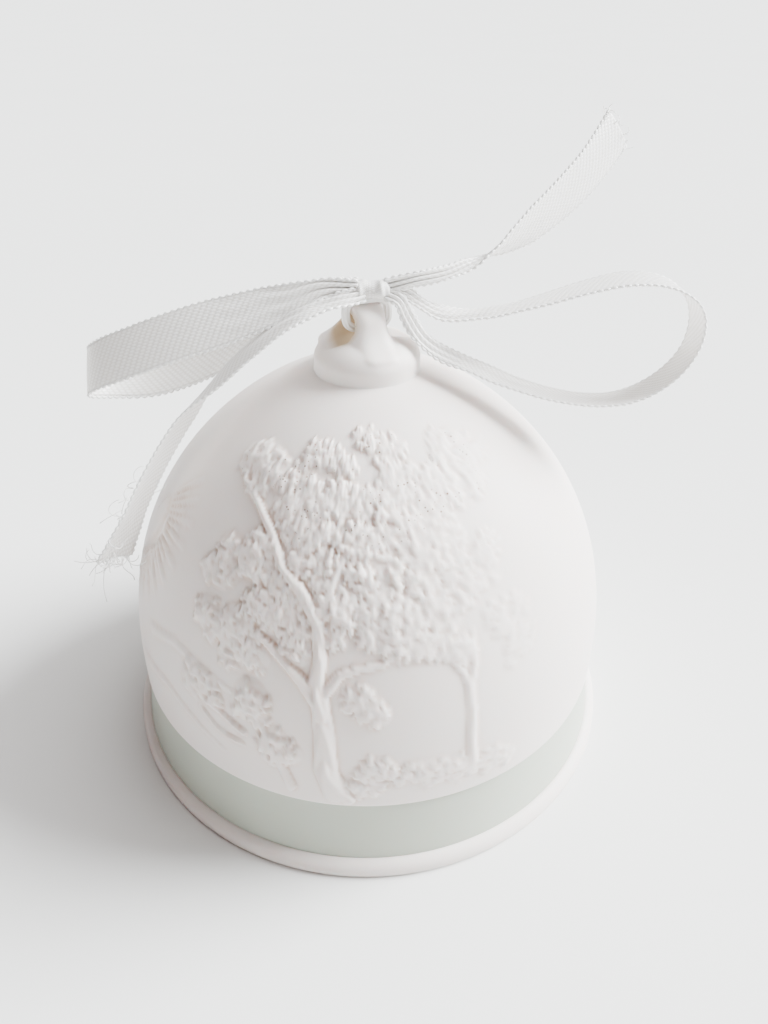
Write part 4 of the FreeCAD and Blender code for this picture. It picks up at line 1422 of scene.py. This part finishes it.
BOW = (
    Stretch(
        "bow_loop_left", "ribbon_loop_left",
        (
            (-1.2, -1.0, 71.2), (-3.6, -1.0, 71.5), (-6.8, -1.6, 71.1), (-11.6, -2.4, 69.6),
            (-17.8, -3.2, 67.9), (-25.0, -3.9, 66.0), (-31.8, -3.8, 63.5), (-37.0, -2.6, 61.2),
            (-39.6, 0.6, 58.6), (-37.6, 4.0, 56.9), (-32.0, 4.8, 56.4), (-26.0, 4.2, 58.4),
            (-19.4, 3.4, 61.8), (-12.8, 2.6, 65.6), (-7.6, 1.8, 69.2), (-4.2, 1.0, 70.9),
            (-1.2, 0.8, 70.9),
        ),
        (
            Lay(0.0, (0.05, 0.32, 0.94), 1.6, 0.30, 0.0), Lay(0.035, (-0.05, 0.40, 0.90), 1.9, 0.30, 0.0),
            Lay(0.07, UP_FACING, 2.7, 0.24, 0.0), Lay(0.14, UP_FACING, 5.0, 0.13, 0.0),
            Lay(0.22, UP_FACING, 6.1, 0.02, 0.2), Lay(0.40, UP_FACING, 6.3, 0.0, 0.2),
            Lay(0.52, UP_FACING, 6.3, 0.0, 0.0), Lay(0.74, (0.0, 0.50, 0.86), 6.2, 0.0, 0.2),
            Lay(0.90, (0.1, 0.5, 0.86), 2.8, 0.25, 0.0), Lay(1.0, (0.05, 0.32, 0.94), 1.6, 0.30, 0.0),
        ),
        0.0855, "object",
    ),
    Stretch(
        "bow_tail_left", "ribbon_tail_left",
        (
            (-0.4, -1.2, 70.4), (-2.4, -2.4, 70.4), (-5.2, -3.4, 69.9), (-8.6, -4.0, 69.1),
            (-12.4, -4.6, 66.9), (-16.8, -5.2, 63.5), (-21.3, -6.4, 59.4), (-24.7, -7.6, 55.8),
            (-27.0, -8.8, 52.6), (-29.5, -10.4, 48.8), (-31.8, -12.0, 44.7), (-33.8, -13.2, 40.8),
            (-35.6, -14.0, 37.4),
        ),
        (
            Lay(0.0, (-0.31, 0.53, 0.78), 1.6, 0.28, 0.0), Lay(0.05, (-0.44, 0.75, 0.49), 2.0, 0.28, 0.0),
            Lay(0.10, (-0.36, 0.90, 0.23), 2.6, 0.24, 0.0), Lay(0.20, (-0.19, 0.98, 0.05), 4.6, 0.12, 0.3),
            Lay(0.30, (-0.13, 0.99, -0.02), 5.8, 0.04, 0.5), Lay(0.40, (-0.16, 0.98, -0.08), 6.2, 0.0, 0.5),
            Lay(0.46, (-0.15, 0.96, -0.20), 6.2, 0.0, 0.5), Lay(0.56, (0.16, 0.88, -0.44), 5.4, 0.0, 0.5),
            Lay(0.66, (0.20, 0.87, -0.46), 5.3, 0.0, 0.4), Lay(0.86, (0.22, 0.86, -0.46), 5.4, 0.03, 0.4),
            Lay(1.0, (0.42, 0.75, -0.50), 6.2, 0.10, 0.3),
        ),
        0.0515, "bare",
    ),
    Stretch(
        "bow_loop_right", "ribbon_loop_right",
        (
            (2.4, -0.9, 70.4), (4.3, -1.1, 70.2), (5.3, -1.4, 67.6), (7.0, -1.7, 64.9),
            (9.8, -2.1, 62.6), (13.6, -2.4, 61.2), (18.8, -2.7, 58.8), (25.0, -2.9, 56.7),
            (31.2, -2.7, 55.5), (37.2, -2.0, 55.7), (42.6, -0.8, 58.6), (45.6, 0.4, 63.0),
            (45.4, 1.6, 67.9), (41.6, 2.4, 70.8), (36.0, 2.6, 71.7), (29.6, 2.4, 70.3),
            (22.6, 2.0, 68.2), (15.4, 1.6, 66.7), (10.0, 1.2, 66.9), (7.0, 0.8, 68.6), (4.8, 0.5, 70.6),
            (2.4, 0.5, 70.9),
        ),
        (
            Lay(0.0, (0.16, 0.58, 0.79), 1.6, 0.28, 0.0), Lay(0.05, (0.66, 0.64, 0.39), 1.9, 0.24, 0.0),
            Lay(0.10, (0.42, 0.85, 0.31), 2.5, 0.20, 0.0), Lay(0.15, (0.19, 0.97, 0.16), 3.3, 0.14, 0.2),
            Lay(0.20, (0.07, 0.99, 0.02), 4.4, 0.08, 0.3), Lay(0.25, (0.0, 0.99, -0.08), 5.4, 0.03, 0.3),
            Lay(0.30, (-0.06, 0.99, -0.15), 6.3, 0.0, 0.3), Lay(0.40, (-0.09, 0.97, -0.23), 6.3, 0.0, 0.2),
            Lay(0.50, (0.04, 0.96, -0.27), 6.3, 0.0, 0.0), Lay(0.60, (0.08, 0.99, -0.07), 6.3, 0.0, 0.0),
            Lay(0.65, (0.05, 0.99, -0.03), 6.3, 0.0, 0.2), Lay(0.70, (-0.02, 0.99, -0.09), 6.3, 0.0, 0.2),
            Lay(0.80, (-0.02, 0.98, -0.17), 6.0, 0.04, 0.3),
            Lay(0.86, (-0.05, 0.99, -0.12), 4.6, 0.12, 0.3),
            Lay(0.90, (-0.05, 0.98, 0.18), 3.2, 0.18, 0.2), Lay(0.95, (0.16, 0.87, 0.46), 2.0, 0.28, 0.0),
            Lay(1.0, (0.08, 0.31, 0.95), 1.6, 0.28, 0.0),
        ),
        0.1010, "object",
    ),
    Stretch(
        "bow_tail_right", "ribbon_tail_right",
        (
            (2.4, -0.4, 71.2), (5.0, -0.3, 71.9), (8.4, 0.6, 72.1), (12.4, 2.8, 72.6),
            (16.4, 5.6, 73.4), (22.6, 10.0, 75.8), (28.8, 15.0, 79.4), (33.4, 19.0, 83.0),
            (36.6, 22.4, 86.8),
        ),
        (
            Lay(0.0, (-0.19, 0.31, 0.93), 1.6, 0.30, 0.0), Lay(0.08, (-0.2, 0.35, 0.91), 1.5, 0.32, 0.0),
            Lay(0.18, (-0.35, 0.48, 0.80), 1.6, 0.32, 0.0), Lay(0.27, (-0.50, 0.70, 0.40), 1.6, 0.28, 0.0),
            Lay(0.33, (-0.45, 0.81, -0.35), 2.2, 0.20, 0.2), Lay(0.42, (0.0, 0.65, -0.76), 4.6, 0.08, 0.3),
            Lay(0.54, (0.15, 0.40, -0.90), 6.0, 0.02, 0.2), Lay(0.72, (0.34, 0.31, -0.89), 6.3, 0.0, 0.2),
            Lay(1.0, (0.60, 0.26, -0.75), 6.3, 0.0, 0.3),
        ),
        0.0455, "bare",
    ),
)


@dataclass
class BowTies:
    """The knot and the neck that goes through the loop's hole."""

    knot_squeeze: float = 2.4
    yaw: float = math.radians(20.0)

    def build_knot(self, satin: bpy.types.Material) -> bpy.types.Object:
        """A tight pleated wrap of the ribbon round itself."""
        low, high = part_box("ribbon_knot")
        centre = (low + high) / 2
        half = (high - low) / 2
        Bench.clear_selection()
        bpy.ops.mesh.primitive_uv_sphere_add(
            segments=72, ring_count=48, radius=1.0, rotation=(0, math.pi / 2, 0)
        )
        piece = Bench.take_new("bow_knot")
        Bench.settle(piece)
        points = Bench.points_of(piece)
        x, y, z = points[:, 0], points[:, 1], points[:, 2]
        around = np.arctan2(z, y)
        radius = np.sqrt(np.clip(1 - x * x, 1e-9, 1.0))
        body = np.stack([np.sign(x) * np.abs(x) ** 0.62, y / radius, z / radius], axis=1)
        body[:, 1:] *= (radius ** 0.42)[:, None]
        folds = np.cos(x * 8.0 + around + 0.6) + 0.45 * np.cos(x * 15.0 - 2 * around)
        creases = 1 + 0.075 * folds + 0.04 * np.cos(around * 3 + 1.0)
        pinch = 1 - 0.10 * np.exp(-(((x + 0.1) / 0.25) ** 2))
        body[:, 1:] *= (creases * pinch)[:, None]
        shaped = body * np.array([half.x, half.y * 0.84, half.z * 0.84])
        shaped += np.array([centre.x, centre.y, centre.z])
        Bench.set_points(piece, shaped)
        corners = Bench.corners_of(piece)
        lengthwise = np.stack([x[corners] * half.x, around[corners] * half.z], axis=1)
        Bench.set_uv(piece, lengthwise * self.knot_squeeze)
        Bench.smooth(piece)
        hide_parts("ribbon_knot")
        return dress(piece, satin, "bow")

    def build_neck(self, thread: bpy.types.Material) -> bpy.types.Object:
        """The gathered strand that goes down one side, through the hole and up the other."""
        low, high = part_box("ribbon_neck")
        middle = (low.z + high.z) / 2
        top = high.z - 0.75 * MM
        bottom = low.z + 0.85 * MM
        reach = (high.x - low.x) / 2 / math.cos(self.yaw) - 1.2 * MM
        turn = Matrix.Rotation(self.yaw, 3, "Z")
        rounds = 72
        line = []
        for step in range(rounds + 1):
            angle = math.tau * step / rounds - math.pi / 2
            along = reach * math.copysign(abs(math.cos(angle)) ** 0.55, math.cos(angle))
            up = middle + (top - bottom) / 2 * math.copysign(abs(math.sin(angle)) ** 0.7, math.sin(angle))
            place = turn @ Vector((along, 0.12 * MM * math.sin(3 * angle), up))
            line.append(tuple(place))
        line = np.array(line)
        radii = np.full(len(line), 0.52 * MM)
        piece = Bench.tube_of("bow_neck", line, radii, sides=40, ridges=7, ridge_depth=0.16)
        Bench.smooth(piece)
        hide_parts("ribbon_neck")
        return dress(piece, thread, "bow")


def thread_line(
    start: np.ndarray, way: np.ndarray, length: float, curl: float, draw: random.Random
) -> np.ndarray:
    """A short curling thread.

    Args:
        start: Where it leaves the cloth.
        way: Its first direction.
        length: Its length.
        curl: Radians that it turns through.
        draw: Source of chance.

    Returns:
        Nine points along the thread.
    """
    axis = Vector((draw.uniform(-1, 1), draw.uniform(-1, 1), draw.uniform(-1, 1))).normalized()
    heading = Vector(way).normalized()
    place = Vector(start)
    points = [tuple(place)]
    for _ in range(8):
        heading = Matrix.Rotation(curl / 8, 3, axis) @ heading
        place = place + heading * (length / 8)
        points.append(tuple(place))
    return np.array(points)


@dataclass
class FrayedEnd:
    """Loose threads where a cut end of the ribbon has come undone."""

    name: str
    seed: int
    count: int
    spread: float
    reach: tuple[float, float]
    radius: float = 0.055 * MM

    def build(
        self, ribbon: PicotRibbon, stretch: Stretch, thread: bpy.types.Material,
        edge_share: float, stray: float,
    ) -> bpy.types.Object:
        """Scatter curling threads over the end and along the last part of the edges.

        Args:
            ribbon: The ribbon that frays.
            stretch: The stretch whose far end frays.
            thread: Finish of the threads.
            edge_share: Share of the length from where the edges fray.
            stray: Length of one long stray thread, or 0 for none.

        Returns:
            The threads as one object.
        """
        line, _, way, face = ribbon.lay_out(stretch)
        tangent = Bench.tangents_of(line)
        half = stretch.lays[-1].width * MM / 2
        draw = random.Random(self.seed)
        parts = []
        for index in range(self.count):
            at_end = index % 3 != 0
            side = draw.uniform(-1, 1) if at_end else draw.choice((-1.0, -1.0, 1.0))
            station = len(line) - 1 if at_end else int(len(line) * draw.uniform(edge_share, 0.995))
            start = line[station] + way[station] * side * half * 0.95
            out = way[station] * side * (0.5 if at_end else 1.0) + face[station] * draw.uniform(-0.6, 0.6)
            heading = tangent[station] * (1.0 if at_end else draw.uniform(-0.2, 0.9)) + out * self.spread
            length = draw.uniform(*self.reach) * MM
            curl = draw.uniform(1.0, 4.6) * draw.choice((-1, 1))
            if draw.random() < 0.25:
                curl = draw.uniform(4.5, 6.0)
            curve = thread_line(start, heading, length, curl, draw)
            radii = np.full(len(curve), self.radius * draw.uniform(0.8, 1.3))
            parts.append(Bench.tube_of("thread", curve, radii, sides=5))
        if stray > 0:
            start = line[-1] - way[-1] * half * 0.4
            heading = tangent[-1] + np.array([-0.25, 0.0, -0.5])
            curve = thread_line(start, heading, stray, 0.55, draw)
            parts.append(Bench.tube_of("thread", curve, np.full(len(curve), self.radius), sides=5))
        piece = Bench.join(self.name, parts)
        Bench.smooth(piece)
        return dress(piece, thread, "bow")


# ---------------------------------------------------------------- clapper


@dataclass
class Clapper:
    """The bead that strikes the wall, and the finishes of the wire parts that carry it."""

    bore: float = 0.6 * MM

    def build_bead(self, material: bpy.types.Material) -> bpy.types.Object:
        """Turn the porcelain bead with its bore, its flat seat and a faint casting seam."""
        low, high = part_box("clapper_bead")
        radius = (high.x - low.x) / 2
        centre = high.z - math.sqrt(radius * radius - self.bore * self.bore)
        start = math.acos((low.z - centre) / radius)
        finish = math.asin(self.bore / radius)
        outline = [(self.bore, low.z), (radius * math.sin(start), low.z)]
        steps = 60
        for step in range(1, steps + 1):
            turn = start + (finish - start) * step / steps
            seam = 0.05 * MM * math.exp(-(((math.degrees(turn) - 90) / 2.2) ** 2))
            outline.append(((radius - 0.06 * MM + seam) * math.sin(turn), centre + radius * math.cos(turn)))
        outline += [(self.bore, low.z)]
        piece = Bench.turn_outline("porcelain_bead", outline, 96)
        Bench.face_outwards(piece)
        Bench.smooth(piece, Facing.BY_ANGLE, 40.0)
        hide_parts("clapper_bead")
        return dress(piece, material, "clapper")

    @staticmethod
    def dress_wires(brass: bpy.types.Material, cement: bpy.types.Material) -> None:
        """Give the wire parts, the washer and the plug their finishes."""
        for name in ("clapper_staple", "link_ring", "clapper_wire", "stop_washer"):
            node = frame["nodes"][name]
            for slot in node.material_slots:
                slot.material = brass
        for slot in frame["nodes"]["anchor_plug"].material_slots:
            slot.material = cement


def main() -> None:
    """Build the stage, the ribbon, the bell and the clapper, in that order."""
    Studio().build()
    satin = RIBBON_SATIN.build()
    thread = RIBBON_THREAD.build()
    ribbon = PicotRibbon()
    for stretch in BOW:
        ribbon.build(stretch, satin, thread)
    ties = BowTies()
    ties.build_knot(satin)
    ties.build_neck(thread)
    left_fray = FrayedEnd("frayed_threads_left", seed=21, count=54, spread=1.1, reach=(1.4, 5.0))
    left_fray.build(ribbon, BOW[1], thread, edge_share=0.76, stray=8.0 * MM)
    right_fray = FrayedEnd("frayed_threads_right", seed=33, count=16, spread=0.5, reach=(0.8, 2.4))
    right_fray.build(ribbon, BOW[3], thread, edge_share=0.97, stray=0.0)
    bell = PorcelainBell()
    bisque = BISQUE.build()
    plain = PLAIN_BISQUE.build()
    bell.build_shell(bisque)
    bell.build_band(GREEN_SLIP.build())
    Crown().build(bell, plain)
    clapper = Clapper()
    clapper.build_bead(plain)
    clapper.dress_wires(DrawnBrass().build(), CEMENT.build())


if __name__ == "__main__":
    main()
